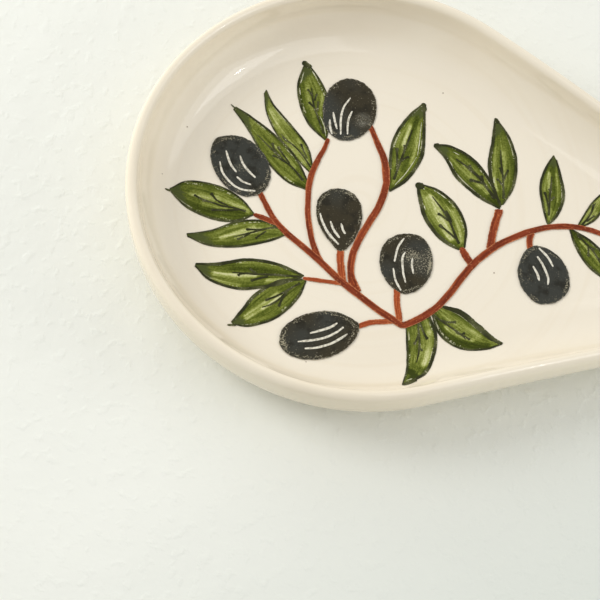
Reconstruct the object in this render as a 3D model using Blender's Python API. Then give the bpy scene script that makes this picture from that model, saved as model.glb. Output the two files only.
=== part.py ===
# Ceramic spoon rest: a glazed teardrop dish on an unglazed foot ring, with a painted olive spray on its floor.
# Metres, +Z up, +X towards the narrow end. The origin is on the table, under the middle of the dish.

import math

import bpy
import bmesh
from mathutils import Vector

MM = 0.001

# Rim seen from above, measured along the top of the lip
BOWL_RADIUS = 60.0 * MM
TIP_RADIUS = 20.0 * MM
TIP_DISTANCE = 91.0 * MM  # from the bowl's centre to the tip's centre
TIP_DIP = 5.0 * MM  # how far the rim sinks at the narrow end, where the spoon's handle lies
DIP_START = 30.0 * MM  # from the bowl's centre to where the rim begins to sink

# Section through the wall, on the finished surface
RIM_HEIGHT = 19.0 * MM
LIP_THICKNESS = 3.5 * MM
FLOOR_HEIGHT = 6.3 * MM  # top of the floor above the table
WALL_RUN = 12.5 * MM  # from the lip's inner face in to the flat floor
BELLY_HEIGHT = 13.2 * MM  # where the upright outer wall begins to turn under
BELLY_FOOT = 1.8 * MM  # where the turned-under wall meets the foot ring

# Foot ring
FOOT_INSET = 10.5 * MM  # from the top of the lip in to the ring's outer face
FOOT_WIDTH = 3.5 * MM
FOOT_CHAMFER = 0.4 * MM
BASE_HOLLOW = 1.6 * MM  # height of the base inside the ring

# Coats on the clay
GLAZE_THICKNESS = 0.4 * MM
PAINT_THICKNESS = 0.3 * MM
SEAT_GAP = 0.3 * MM  # between a coat and what it lies on
GLAZE_END_ANGLE = 82.0  # degrees round the belly at which the glaze stops, short of the foot

# Painted spray, laid out in shares of the painted radius
PAINT_MARGIN = 9.0 * MM  # bare band inside the lip
STEM_WIDTH = 2.3 * MM
STALK_WIDTH = 1.9 * MM
LEAF_SHARE = 0.50  # a full leaf's length, as a share of the painted radius
LEAF_SLIMNESS = 0.30  # its width, as a share of its length
LEAF_BOW = 0.03  # sideways bow of a leaf, as a share of its length
LEAF_WIDEST = 0.46  # where along the leaf it is widest
LEAF_FULLNESS = 1.0  # exponent of the leaf's outline: less is blunter
OLIVE_SHARE = 0.36  # a full olive's length, as a share of the painted radius
OLIVE_SLIMNESS = 0.764  # its width, as a share of its length

# Strokes of the spray: points as shares of the painted radius, from the bowl's centre.
# A branch starts beside the main stem, at the given share of its length.
MAIN_STEM_SHARES = [
    (1.32, 0.1), (1.05, 0.1), (0.78, -0.06), (0.6, -0.3), (0.46, -0.53), (0.345, -0.62),
    (0.2, -0.58), (0.05, -0.505), (-0.15, -0.35), (-0.355, -0.23), (-0.515, -0.07),
]
BRANCH_SHARES = {
    "left_branch": (0.79, [(-0.255, -0.16), (-0.283, 0.04), (-0.265, 0.21), (-0.205, 0.345)]),
    "middle_branch": (0.68, [(0.055, -0.33), (0.1, -0.08), (0.128, 0.12), (0.1, 0.31), (0.015, 0.445)]),
}

# Short strokes that leave a stem: stem, share along it, angle off its direction (positive to the left), length
STALK_SHARES = {
    "leaf_stalk_1": ("main_stem", 0.915, 38, 0.049),
    "leaf_stalk_2": ("main_stem", 0.720, 42, 0.138),
    "leaf_stalk_3": ("main_stem", 0.278, -114, 0.071),
    "leaf_stalk_4": ("main_stem", 0.228, -141, 0.152),
    "olive_stalk_1": ("main_stem", 0.740, -43, 0.096),
    "olive_stalk_2": ("main_stem", 0.535, -72, 0.105),
    "olive_stalk_3": ("main_stem", 0.525, 33, 0.120),
    "olive_stalk_4": ("main_stem", 0.158, 85, 0.049),
}

# Leaves: stem, share along it, angle off its direction, then shares of the full length, width and bow
LEAF_SHARES = [
    ("left_branch", 0.815, 45, 1.00, 0.66, 1.2),
    ("left_branch", 0.565, 40, 1.06, 0.60, 0.4),
    ("left_branch", 0.410, 43, 1.12, 0.72, -0.2),
    ("leaf_stalk_1", 1.0, 0, 0.90, 1.04, -0.6),
    ("main_stem", 0.873, 46, 1.02, 0.82, 0.2),
    ("leaf_stalk_2", 1.0, -2, 1.10, 0.96, -0.3),
    ("leaf_stalk_2", 1.0, 48, 0.92, 0.94, 0.3),
    ("middle_branch", 0.590, -16, 0.98, 1.00, 0.4),
    ("leaf_stalk_3", 1.0, 8, 0.88, 1.25, -1.4),
    ("leaf_stalk_4", 1.0, 54, 0.98, 0.92, -1.2),
    ("leaf_stalk_4", 1.0, 4, 1.04, 0.86, 0.0),
    ("main_stem", 0.430, 40, 0.76, 0.98, 3.5),
    ("main_stem", 0.393, 108, 0.78, 1.05, -3.2),
    ("main_stem", 0.120, -112, 0.80, 0.95, 0.5),
    ("main_stem", 0.063, -121, 0.66, 0.90, -0.5),
    ("main_stem", 0.0, -4, 0.85, 0.95, 0.5),
    ("main_stem", 0.082, 125, 0.75, 0.95, 0.5),
]

# Olives: stem whose end carries it, turn off its direction, then shares of the full length and width
OLIVE_SHARES = [
    ("main_stem", 6, 0.93, 0.90),
    ("left_branch", 10, 1.04, 0.98),
    ("olive_stalk_1", 5, 0.97, 0.86),
    ("olive_stalk_2", -10, 0.95, 0.98),
    ("olive_stalk_3", 0, 1.10, 0.90),
    ("olive_stalk_4", 0, 0.95, 0.95),
]

# Mesh resolution
BOWL_STEPS = 46
SIDE_STEPS = 5
TIP_STEPS = 12
WALL_STEPS = 6
LIP_STEPS = 6
STEM_STEPS = 4  # between two points of a stroke
LEAF_STEPS = 8
OLIVE_STEPS = 18

# Sizes that follow from those above
FLOOR_INSET = LIP_THICKNESS / 2 + WALL_RUN
LIP_CENTRE_HEIGHT = RIM_HEIGHT - LIP_THICKNESS / 2
TIP_LEAN = math.asin((BOWL_RADIUS - TIP_RADIUS) / TIP_DISTANCE)  # how fast the straight sides close in
PAINTED_RADIUS = BOWL_RADIUS - PAINT_MARGIN
LEAF_LENGTH = LEAF_SHARE * PAINTED_RADIUS
LEAF_WIDTH = LEAF_SLIMNESS * LEAF_LENGTH
OLIVE_LENGTH = OLIVE_SHARE * PAINTED_RADIUS
OLIVE_WIDTH = OLIVE_SLIMNESS * OLIVE_LENGTH
CLAY_DEPTH = GLAZE_THICKNESS + SEAT_GAP  # clay below the finished surface
BOWL_CENTRE = Vector(((BOWL_RADIUS - TIP_DISTANCE - TIP_RADIUS) / 2, 0.0, 0.0))

COLOURS = {
    "clay": ((0.72, 0.52, 0.38, 1.0), 0.85),
    "glaze": ((0.82, 0.73, 0.56, 1.0), 0.15),
    "stem": ((0.30, 0.062, 0.020, 1.0), 0.25),
    "leaf": ((0.12, 0.16, 0.035, 1.0), 0.25),
    "olive": ((0.022, 0.022, 0.020, 1.0), 0.22),
}


def clear_scene():
    for old in list(bpy.data.objects):
        bpy.data.objects.remove(old, do_unlink=True)


def make_materials():
    materials = {}
    for name, (colour, roughness) in COLOURS.items():
        material = bpy.data.materials.new(name)
        material.use_nodes = True
        shader = material.node_tree.nodes["Principled BSDF"]
        shader.inputs["Base Color"].default_value = colour
        shader.inputs["Roughness"].default_value = roughness
        shader.inputs["Metallic"].default_value = 0.0
        materials[name] = material
    return materials


def ease(share):
    share = min(max(share, 0.0), 1.0)
    return share * share * (3.0 - 2.0 * share)


# Rim outline as pairs of point and outward normal, counter-clockwise from the upper straight side
def rim_outline():
    side_angle = math.pi / 2 - TIP_LEAN
    outline = []

    def arc(centre_x, radius, start, end, steps):
        for step in range(steps + 1):
            angle = start + (end - start) * step / steps
            normal = Vector((math.cos(angle), math.sin(angle)))
            outline.append((Vector((centre_x, 0.0)) + normal * radius, normal))

    def side(start, end, normal):
        for step in range(1, SIDE_STEPS):
            outline.append((start.lerp(end, step / SIDE_STEPS), normal))

    lower = Vector((math.cos(side_angle), -math.sin(side_angle)))
    upper = Vector((math.cos(side_angle), math.sin(side_angle)))
    tip = Vector((TIP_DISTANCE, 0.0))
    arc(0.0, BOWL_RADIUS, side_angle, 2 * math.pi - side_angle, BOWL_STEPS)
    side(lower * BOWL_RADIUS, tip + lower * TIP_RADIUS, lower)
    arc(TIP_DISTANCE, TIP_RADIUS, -side_angle, side_angle, TIP_STEPS)
    side(tip + upper * TIP_RADIUS, upper * BOWL_RADIUS, upper)
    return outline


# Distance of a plan point from the rim outline, positive inside
def inset_at(point):
    across = Vector((point.x, abs(point.y)))
    side_normal = Vector((math.sin(TIP_LEAN), math.cos(TIP_LEAN)))
    along = across.dot(Vector((side_normal.y, -side_normal.x)))
    if along < 0.0:
        return BOWL_RADIUS - across.length
    if along > TIP_DISTANCE * math.cos(TIP_LEAN):
        return TIP_RADIUS - (across - Vector((TIP_DISTANCE, 0.0))).length
    return BOWL_RADIUS - across.dot(side_normal)


# The rim sinks towards the narrow end, and the wall below it shortens
def sunk(height, along):
    dip = ease((along - DIP_START) / (TIP_DISTANCE + TIP_RADIUS - DIP_START))
    wall_share = (height - FLOOR_HEIGHT) / (RIM_HEIGHT - LIP_THICKNESS - FLOOR_HEIGHT)
    return height - TIP_DIP * dip * ease(wall_share)


# Height of the finished inner surface at a plan point
def dish_height(point):
    share = min(max((FLOOR_INSET - inset_at(point)) / WALL_RUN, 0.0), 1.0)
    rise = (LIP_CENTRE_HEIGHT - FLOOR_HEIGHT) * (1.0 - math.sqrt(1.0 - share * share))
    return sunk(FLOOR_HEIGHT + rise, point.x)


# Section of the finished surface as (inset, height), from the floor's edge over the lip to the foot
def wall_section():
    section = []
    for step in range(WALL_STEPS + 1):
        angle = math.pi / 2 * step / WALL_STEPS
        rise = (LIP_CENTRE_HEIGHT - FLOOR_HEIGHT) * (1.0 - math.cos(angle))
        section.append(Vector((FLOOR_INSET - WALL_RUN * math.sin(angle), FLOOR_HEIGHT + rise)))
    for step in range(1, LIP_STEPS + 1):
        angle = math.pi * step / LIP_STEPS
        lip = Vector((math.cos(angle), math.sin(angle))) * (LIP_THICKNESS / 2)
        section.append(lip + Vector((0.0, LIP_CENTRE_HEIGHT)))
    belly_run = FOOT_INSET + LIP_THICKNESS / 2
    for step in range(WALL_STEPS + 1):
        angle = math.radians(GLAZE_END_ANGLE) * step / WALL_STEPS
        fall = (BELLY_HEIGHT - BELLY_FOOT) * math.sin(angle)
        section.append(Vector((FOOT_INSET - belly_run * math.cos(angle), BELLY_HEIGHT - fall)))
    return section


# The same section moved into the clay by a depth, square to the surface
def sunken_section(section, depth):
    moved = []
    for index, point in enumerate(section):
        before = section[max(index - 1, 0)]
        after = section[min(index + 1, len(section) - 1)]
        run = (after - before).normalized()
        if index == 0:
            run = Vector((-1.0, 0.0))
        moved.append(point + Vector((run.y, -run.x)) * -depth)
    return moved


# Rings of vertices along the rim outline, one for each section point
def sweep_rings(mesh, outline, section):
    rings = []
    for inset, height in section:
        ring = []
        for point, normal in outline:
            place = point - normal * inset
            ring.append(mesh.verts.new((place.x, place.y, sunk(height, place.x))))
        rings.append(ring)
    return rings


def skin_rings(mesh, rings):
    for first, second in zip(rings, rings[1:]):
        count = len(first)
        for index in range(count):
            after = (index + 1) % count
            mesh.faces.new((first[index], first[after], second[after], second[index]))


def add_object(name, mesh, material, parent):
    bmesh.ops.recalc_face_normals(mesh, faces=mesh.faces)
    data = bpy.data.meshes.new(name)
    mesh.to_mesh(data)
    mesh.free()
    data.materials.append(material)
    data.shade_smooth()
    data.set_sharp_from_angle(angle=math.radians(35.0))
    obj = bpy.data.objects.new(name, data)
    bpy.context.scene.collection.objects.link(obj)
    obj.parent = parent
    return obj


# Moulded clay: the glazed surface taken down by the coat, then the bare foot ring and the hollow base
def add_clay_body(outline, section, material, parent):
    foot_inner = FOOT_INSET + FOOT_WIDTH
    foot = [
        Vector((FOOT_INSET, BELLY_FOOT + CLAY_DEPTH)),
        Vector((FOOT_INSET, FOOT_CHAMFER)),
        Vector((FOOT_INSET + FOOT_CHAMFER, 0.0)),
        Vector((foot_inner - FOOT_CHAMFER, 0.0)),
        Vector((foot_inner, FOOT_CHAMFER)),
        Vector((foot_inner, BASE_HOLLOW)),
    ]
    mesh = bmesh.new()
    rings = sweep_rings(mesh, outline, sunken_section(section, CLAY_DEPTH) + foot)
    skin_rings(mesh, rings)
    mesh.faces.new(rings[0])
    mesh.faces.new(rings[-1])
    return add_object("clay_body", mesh, material, parent)


# Glaze: one skin over the floor, the wall, the lip and the outside
def add_glaze_coat(outline, section, material, parent):
    under = sunken_section(section, GLAZE_THICKNESS)
    mesh = bmesh.new()
    rings = sweep_rings(mesh, outline, section + under[::-1])
    skin_rings(mesh, rings)
    mesh.faces.new(rings[0])
    mesh.faces.new(rings[-1])
    return add_object("glaze_coat", mesh, material, parent)


# Glaze in the hollow of the base, inside the foot ring
def add_base_glaze(outline, material, parent):
    inset = FOOT_INSET + FOOT_WIDTH + SEAT_GAP
    top = BASE_HOLLOW - SEAT_GAP
    mesh = bmesh.new()
    rings = sweep_rings(mesh, outline, [(inset, top), (inset, top - GLAZE_THICKNESS)])
    skin_rings(mesh, rings)
    mesh.faces.new(rings[0])
    mesh.faces.new(rings[-1])
    return add_object("base_glaze", mesh, material, parent)


# A painted mark: rows of plan points laid on the glazed floor and given the paint's thickness
def add_mark(name, rows, material, parent):
    mesh = bmesh.new()
    sheet = []
    for row in rows:
        laid = [(point.x, point.y, dish_height(point) + SEAT_GAP) for point in row]
        sheet.append([mesh.verts.new(place) for place in laid])
    for first, second in zip(sheet, sheet[1:]):
        for index in range(len(first) - 1):
            mesh.faces.new((first[index], first[index + 1], second[index + 1], second[index]))
    bmesh.ops.remove_doubles(mesh, verts=mesh.verts, dist=0.01 * MM)
    obj = add_object(name, mesh, material, parent)
    if obj.data.polygons[0].normal.z < 0.0:
        obj.data.flip_normals()
    coat = obj.modifiers.new("paint thickness", "SOLIDIFY")
    coat.thickness = PAINT_THICKNESS
    coat.offset = 1.0
    return obj


# A smooth brush stroke through its points
class Stroke:
    def __init__(self, points, width):
        self.points = points
        self.width = width

    def at(self, share):
        place = share * (len(self.points) - 1)
        span = min(int(place), len(self.points) - 2)
        step = place - span
        start = self.points[span]
        end = self.points[span + 1]
        before = self.points[span - 1] if span > 0 else start * 2 - end
        after = self.points[span + 2] if span + 2 < len(self.points) else end * 2 - start
        bend = before - start * 2.5 + end * 2 - after * 0.5
        twist = (after - before) * 0.5 + (start - end) * 1.5
        return start + (end - before) * (0.5 * step) + bend * step**2 + twist * step**3

    def direction(self, share):
        step = 0.001
        return (self.at(min(share + step, 1.0)) - self.at(max(share - step, 0.0))).normalized()

    # Where a mark of a given width leaves this stroke, clear of its edge or its end, and the way it goes
    def leave(self, share, angle, width):
        turn = math.radians(angle)
        way = turned(self.direction(share), angle)
        if share == 0.0:
            way = -way
        if share in (0.0, 1.0):
            reach = (SEAT_GAP + self.width / 2 * abs(math.sin(turn))) / math.cos(turn)
        else:
            edge = self.width / 2 + SEAT_GAP + width / 2 * abs(math.cos(turn))
            reach = edge / abs(math.sin(turn))
        return self.at(share) + way * reach, way

    def rows(self):
        steps = STEM_STEPS * (len(self.points) - 1)
        rows = []
        for step in range(steps + 1):
            middle = self.at(step / steps)
            square = turned(self.direction(step / steps), 90.0) * (self.width / 2)
            rows.append([middle + square, middle, middle - square])
        return rows


def turned(way, degrees):
    angle = math.radians(degrees)
    return Vector((
        way.x * math.cos(angle) - way.y * math.sin(angle),
        way.x * math.sin(angle) + way.y * math.cos(angle),
    ))


def spray_point(share):
    return Vector(share) * PAINTED_RADIUS


# Main stem, branches and stalks; each side stroke starts where its own line clears the stem's edge
def plan_strokes():
    main = Stroke([spray_point(share) for share in MAIN_STEM_SHARES], STEM_WIDTH)
    strokes = {"main_stem": main}
    for name, (share, shares) in BRANCH_SHARES.items():
        points = [spray_point(point) for point in shares]
        angle = math.degrees((points[0] - main.at(share)).angle_signed(main.direction(share)))
        start, way = main.leave(share, angle, STEM_WIDTH)
        strokes[name] = Stroke([start] + points, STEM_WIDTH)
    for name, (stem, share, angle, length) in STALK_SHARES.items():
        start, way = strokes[stem].leave(share, angle, STALK_WIDTH)
        strokes[name] = Stroke([start, start + way * (length * PAINTED_RADIUS)], STALK_WIDTH)
    return strokes


# A leaf runs from its base to a point, bowed to one side
def leaf_rows(base, way, length, width, bow):
    square = turned(way, 90.0)
    taper = LEAF_FULLNESS * (1.0 - LEAF_WIDEST) / LEAF_WIDEST
    rows = []
    for step in range(LEAF_STEPS + 1):
        share = step / LEAF_STEPS
        middle = base + way * (length * share) + square * (bow * length * 4.0 * share * (1.0 - share))
        swell = (share / LEAF_WIDEST) ** LEAF_FULLNESS * ((1.0 - share) / (1.0 - LEAF_WIDEST)) ** taper
        half = square * (width / 2 * swell)
        rows.append([middle + half, middle, middle - half])
    return rows


# An olive is an oval, laid in rows of two rings and its middle
def olive_rows(centre, way, length, width):
    square = turned(way, 90.0)
    rows = []
    for step in range(OLIVE_STEPS + 1):
        angle = 2 * math.pi * step / OLIVE_STEPS
        edge = way * (length / 2 * math.cos(angle)) + square * (width / 2 * math.sin(angle))
        rows.append([centre, centre + edge * 0.55, centre + edge])
    return rows


def add_spray(materials, parent):
    strokes = plan_strokes()
    for name, stroke in strokes.items():
        add_mark(name, stroke.rows(), materials["stem"], parent)
    for number, (stem, share, angle, length, width, bow) in enumerate(LEAF_SHARES, 1):
        base, way = strokes[stem].leave(share, angle, 0.0)
        rows = leaf_rows(base, way, LEAF_LENGTH * length, LEAF_WIDTH * width, LEAF_BOW * bow)
        add_mark(f"leaf_{number:02d}", rows, materials["leaf"], parent)
    for number, (stem, turn, length, width) in enumerate(OLIVE_SHARES, 1):
        start, way = strokes[stem].leave(1.0, turn, 0.0)
        centre = start + way * (OLIVE_LENGTH * length / 2)
        rows = olive_rows(centre, way, OLIVE_LENGTH * length, OLIVE_WIDTH * width)
        add_mark(f"olive_{number}", rows, materials["olive"], parent)


def main():
    clear_scene()
    materials = make_materials()
    dish = bpy.data.objects.new("spoon_rest", None)
    dish.location = BOWL_CENTRE
    bpy.context.scene.collection.objects.link(dish)
    outline = rim_outline()
    section = wall_section()
    add_clay_body(outline, section, materials["clay"], dish)
    add_glaze_coat(outline, section, materials["glaze"], dish)
    add_base_glaze(outline, materials["glaze"], dish)
    add_spray(materials, dish)
    bpy.context.view_layer.update()


main()
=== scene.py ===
import math

import bmesh
import bpy
from mathutils import Matrix, Vector, noise


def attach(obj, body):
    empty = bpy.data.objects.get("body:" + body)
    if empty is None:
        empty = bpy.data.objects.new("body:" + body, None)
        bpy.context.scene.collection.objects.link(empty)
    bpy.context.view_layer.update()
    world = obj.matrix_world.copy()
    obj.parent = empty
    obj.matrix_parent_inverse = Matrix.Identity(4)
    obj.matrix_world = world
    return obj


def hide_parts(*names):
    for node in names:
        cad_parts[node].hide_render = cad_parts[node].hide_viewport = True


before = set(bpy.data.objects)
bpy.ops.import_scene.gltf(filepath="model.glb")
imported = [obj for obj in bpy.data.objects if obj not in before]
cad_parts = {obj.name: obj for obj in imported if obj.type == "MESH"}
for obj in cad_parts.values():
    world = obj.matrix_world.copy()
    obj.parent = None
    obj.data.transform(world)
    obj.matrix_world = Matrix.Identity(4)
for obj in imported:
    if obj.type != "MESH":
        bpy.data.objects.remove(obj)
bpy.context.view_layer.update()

bpy.ops.object.select_all(action="DESELECT")
mm = 0.001
print("frame loaded:", len(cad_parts), "nodes")


# finishes: an expression on Wires adds Math nodes
class Wire:
    def __init__(self, finish, socket):
        self.finish = finish
        self.socket = socket

    def sum(self, operation, first, second):
        return self.finish.node("ShaderNodeMath", {"operation": operation}, {0: first, 1: second})

    def __add__(self, other):
        return self.sum("ADD", self, other)

    def __radd__(self, other):
        return self.sum("ADD", other, self)

    def __sub__(self, other):
        return self.sum("SUBTRACT", self, other)

    def __rsub__(self, other):
        return self.sum("SUBTRACT", other, self)

    def __mul__(self, other):
        return self.sum("MULTIPLY", self, other)

    def __rmul__(self, other):
        return self.sum("MULTIPLY", other, self)

    def __gt__(self, other):
        return self.sum("GREATER_THAN", self, other)

    def __abs__(self):
        return self.finish.node("ShaderNodeMath", {"operation": "ABSOLUTE"}, {0: self})


class Finish:
    def __init__(self, owner):
        owner.use_nodes = True
        self.owner = owner
        self.tree = owner.node_tree

    def plug(self, socket, value):
        if isinstance(value, Wire):
            self.tree.links.new(value.socket, socket)
        else:
            socket.default_value = value

    def node(self, kind, settings, sockets, out=0):
        made = self.tree.nodes.new(kind)
        for key, value in settings.items():
            if key == "stops":
                while len(made.color_ramp.elements) < len(value):
                    made.color_ramp.elements.new(0.5)
                for stop, (spot, colour) in zip(made.color_ramp.elements, value):
                    stop.position = spot
                    stop.color = colour
            else:
                setattr(made, key, value)
        for key, value in sockets.items():
            self.plug(made.inputs[key], value)
        return Wire(self, made.outputs[out])

    def place(self):
        return self.node("ShaderNodeTexCoord", {}, {}, "Object")

    def marked(self, name):  # what the piece carries at its points
        return self.node("ShaderNodeAttribute", {"attribute_name": name}, {}, "Fac")

    def parts(self, vector):
        return [self.node("ShaderNodeSeparateXYZ", {}, {0: vector}, axis) for axis in ("X", "Y", "Z")]

    def joined(self, x, y, z):
        return self.node("ShaderNodeCombineXYZ", {}, {0: x, 1: y, 2: z})

    def away(self, place, spot):
        return self.node("ShaderNodeVectorMath", {"operation": "DISTANCE"}, {0: place, 1: spot}, "Value")

    def grain(self, vector, scale, detail=2.0):
        return self.node("ShaderNodeTexNoise", {}, {"Vector": vector, "Scale": scale, "Detail": detail})

    def band(self, value, low, high):  # rises smoothly from 0 at low to 1 at high
        settings = {"interpolation_type": "SMOOTHSTEP"}
        return self.node("ShaderNodeMapRange", settings, {"Value": value, "From Min": low, "From Max": high})

    def mix(self, factor, first, second):
        return self.node("ShaderNodeMix", {"data_type": "RGBA"}, {0: factor, 6: first, 7: second}, 2)

    def bump(self, height, distance, strength=1.0):
        return self.node("ShaderNodeBump", {}, {"Height": height, "Distance": distance, "Strength": strength})

    def surface(self, **sockets):
        for name, value in sockets.items():
            self.plug(self.tree.nodes["Principled BSDF"].inputs[name.replace("_", " ")], value)
        return self.owner

    def glossy(self, look, colour, relief, fine):
        rough = look["roughness"] + fine * look["roughGrain"]
        shine = look["shine"]
        return self.surface(Base_Color=colour, Roughness=rough, Normal=relief, Specular_IOR_Level=shine)


def newFinish(name):
    return Finish(bpy.data.materials.new(name))


def tint(red, green, blue):  # screen colour, 0 to 255, as the shader wants it
    def level(part):
        part = part / 255.0
        return part / 12.92 if part <= 0.04045 else ((part + 0.055) / 1.055) ** 2.4
    return (level(red), level(green), level(blue), 1.0)


def brushCoordinates(finish):  # length drawn, and -1 to 1 across the stroke
    uv = finish.node("ShaderNodeUVMap", {"uv_map": "UVMap"}, {})
    along, across = finish.parts(uv)[:2]
    return along, across * 2.0 - 1.0


glazeLook = {
    "pale": tint(236, 226, 204), "deep": tint(231, 219, 195), "cloudScale": 26.0, "cloudBand": (0.32, 0.68),
    "pooled": tint(238, 229, 210), "poolDepth": 3.0 * mm, "poolShare": 0.8,
    "turnX": -25.5 * mm, "ringPitch": 420.0, "ringDrift": 14.0,
    "sweepBand": (0.5, 0.72), "sweepShare": 0.3, "sweepRelief": 0.06,
    "pit": tint(120, 96, 66), "pitScale": 42.0, "pitRarity": 0.9, "pitBand": (0.008, 0.02),
    "pitShare": 0.75, "pitRelief": 0.5,
    "flecks": [
        (-0.0750, 0.0117, 0.0073), (-0.0781, -0.0045, 0.0082), (0.0132, -0.0125, 0.0063),
        (-0.0087, 0.0393, 0.0063), (-0.0303, -0.0485, 0.0066),
    ],
    "fleckReach": 0.27 * mm, "fleckCore": 0.4,
    "waveScale": 38.0, "waveHeight": 0.25 * mm, "peelScale": 520.0, "peelRelief": 0.05,
    "roughness": 0.03, "roughGrain": 0.05, "shine": 0.7,
}


def ivoryGlaze(look):
    finish = newFinish("ivoryGlaze")
    place = finish.place()
    x, y, z = finish.parts(place)
    cloud = finish.grain(place, look["cloudScale"], 3.0)
    colour = finish.mix(finish.band(cloud, *look["cloudBand"]), look["deep"], look["pale"])
    pool = 1.0 - finish.band(z, dish["floorHeight"], dish["floorHeight"] + look["poolDepth"])
    colour = finish.mix(pool * look["poolShare"], colour, look["pooled"])
    out = finish.away(place, (look["turnX"], 0.0, dish["floorHeight"]))
    ringed = finish.joined(out * look["ringPitch"], x * look["ringDrift"], y * look["ringDrift"])
    sweep = finish.grain(ringed, 1.0)  # rings left by the turning brush
    colour = finish.mix(finish.band(sweep, *look["sweepBand"]) * look["sweepShare"], colour, look["deep"])
    cells = {"Vector": place, "Scale": look["pitScale"]}
    spread = finish.node("ShaderNodeTexVoronoi", {}, cells, "Distance")
    chance = finish.node("ShaderNodeTexVoronoi", {}, cells, "Color")
    lucky = finish.parts(chance)[0] > look["pitRarity"]
    pit = (1.0 - finish.band(spread, *look["pitBand"])) * lucky  # a few pinholes in the glaze
    reach = look["fleckReach"]
    for fleck in look["flecks"]:
        pit = pit + (1.0 - finish.band(finish.away(place, fleck), reach * look["fleckCore"], reach))
    colour = finish.mix(pit * look["pitShare"], colour, look["pit"])
    swell = finish.grain(place, look["waveScale"], 1.0)
    peel = finish.grain(place, look["peelScale"], 1.0)
    height = swell + peel * look["peelRelief"] + sweep * look["sweepRelief"] - pit * look["pitRelief"]
    return finish.glossy(look, colour, finish.bump(height, look["waveHeight"]), cloud)


leafLook = {
    "stops": [
        (0.0, tint(54, 62, 14)), (0.24, tint(82, 92, 28)), (0.46, tint(115, 123, 50)),
        (0.66, tint(150, 157, 82)), (0.84, tint(184, 188, 122)), (1.0, tint(206, 206, 154)),
    ],
    "drift": 25.0, "streakPitch": (2.2, 5.0), "bristlePitch": (5.0, 20.0),
    "washScale": 120.0, "fineScale": 2600.0,
    "tone": 0.36, "streakTone": 0.8, "bristleTone": 0.5, "fineTone": 0.55, "washTone": 0.4,
    "laidTone": 0.75, "laidStreak": 0.5, "rimTone": 0.16, "rimGrain": 0.3, "rimBand": (0.5, 0.95),
    "baseTone": 0.08, "baseBand": (0.02, 0.2),
    "tip": tint(74, 81, 44), "tipSlant": 0.06, "tipFray": 0.22, "tipBand": (-0.03, 0.03), "tipShare": 0.88,
    "missed": tint(212, 208, 172), "missedSide": 0.84, "missedReach": 0.08, "missedGrain": 0.5,
    "missedBand": (0.54, 0.62), "missedStart": (0.06, 0.16), "missedShare": 0.75,
    "brushHeight": 0.02 * mm, "bristleRelief": 0.5, "roughness": 0.1, "roughGrain": 0.06, "shine": 0.06,
}


def leafGreen(look):
    finish = newFinish("leafGreen")
    place = finish.place()
    along, side = brushCoordinates(finish)
    x, y = finish.parts(place)[:2]
    drift = look["drift"]  # so that no two leaves are streaked alike

    def drawn(pitch, detail):
        length, breadth = pitch
        return finish.grain(finish.joined(along * length + x * drift, side * breadth, y * drift), 1.0, detail)

    streak = drawn(look["streakPitch"], 3.0)
    bristle = drawn(look["bristlePitch"], 2.0)
    wash = finish.grain(place, look["washScale"])
    fine = finish.grain(place, look["fineScale"], 1.0)
    rim = finish.band(abs(side) + (fine - 0.5) * look["rimGrain"], *look["rimBand"])
    base = 1.0 - finish.band(along, *look["baseBand"])
    tone = look["tone"] + (streak - 0.5) * look["streakTone"] + (bristle - 0.5) * look["bristleTone"]
    tone = tone + (fine - 0.5) * look["fineTone"] + (wash - 0.5) * look["washTone"]
    tone = tone + finish.marked("wash") * (look["laidTone"] + streak * look["laidStreak"])
    tone = tone - rim * look["rimTone"] - base * look["baseTone"]
    colour = finish.node("ShaderNodeValToRGB", {"stops": look["stops"]}, {0: tone})
    dipped = finish.marked("dipped") + side * look["tipSlant"] + (streak - 0.5) * look["tipFray"]
    colour = finish.mix(finish.band(dipped, *look["tipBand"]) * look["tipShare"], colour, look["tip"])
    missed = 1.0 - finish.band(abs(abs(side) - look["missedSide"]), 0.0, look["missedReach"])
    missed = missed * finish.band(wash + (fine - 0.5) * look["missedGrain"], *look["missedBand"])
    missed = missed * finish.band(along, *look["missedStart"])
    colour = finish.mix(missed * look["missedShare"], colour, look["missed"])
    relief = finish.bump(streak + bristle * look["bristleRelief"], look["brushHeight"])
    return finish.glossy(look, colour, relief, fine)


inkLook = {
    "dark": tint(50, 52, 30), "worn": tint(84, 86, 54), "wornBand": (0.4, 0.66),
    "bare": tint(190, 186, 152), "skipBand": (0.7, 0.78), "edgeBand": (0.5, 1.0), "edgeSkip": 0.1,
    "fineScale": 2500.0, "patchScale": 260.0, "patchSkip": 0.5,
    "brushHeight": 0.02 * mm, "roughness": 0.1, "roughGrain": 0.08, "shine": 0.06,
}


def inkLine(look):  # dark line that skips over the glaze and leaves pale specks
    finish = newFinish("inkLine")
    place = finish.place()
    along, side = brushCoordinates(finish)
    fine = finish.grain(place, look["fineScale"])
    patch = finish.grain(place, look["patchScale"])
    edge = finish.band(abs(side), *look["edgeBand"])
    skip = finish.band(fine + (patch - 0.5) * look["patchSkip"] + edge * look["edgeSkip"], *look["skipBand"])
    colour = finish.mix(finish.band(patch, *look["wornBand"]), look["dark"], look["worn"])
    colour = finish.mix(skip, colour, look["bare"])
    return finish.glossy(look, colour, finish.bump(1.0 - skip, look["brushHeight"]), fine)


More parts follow.
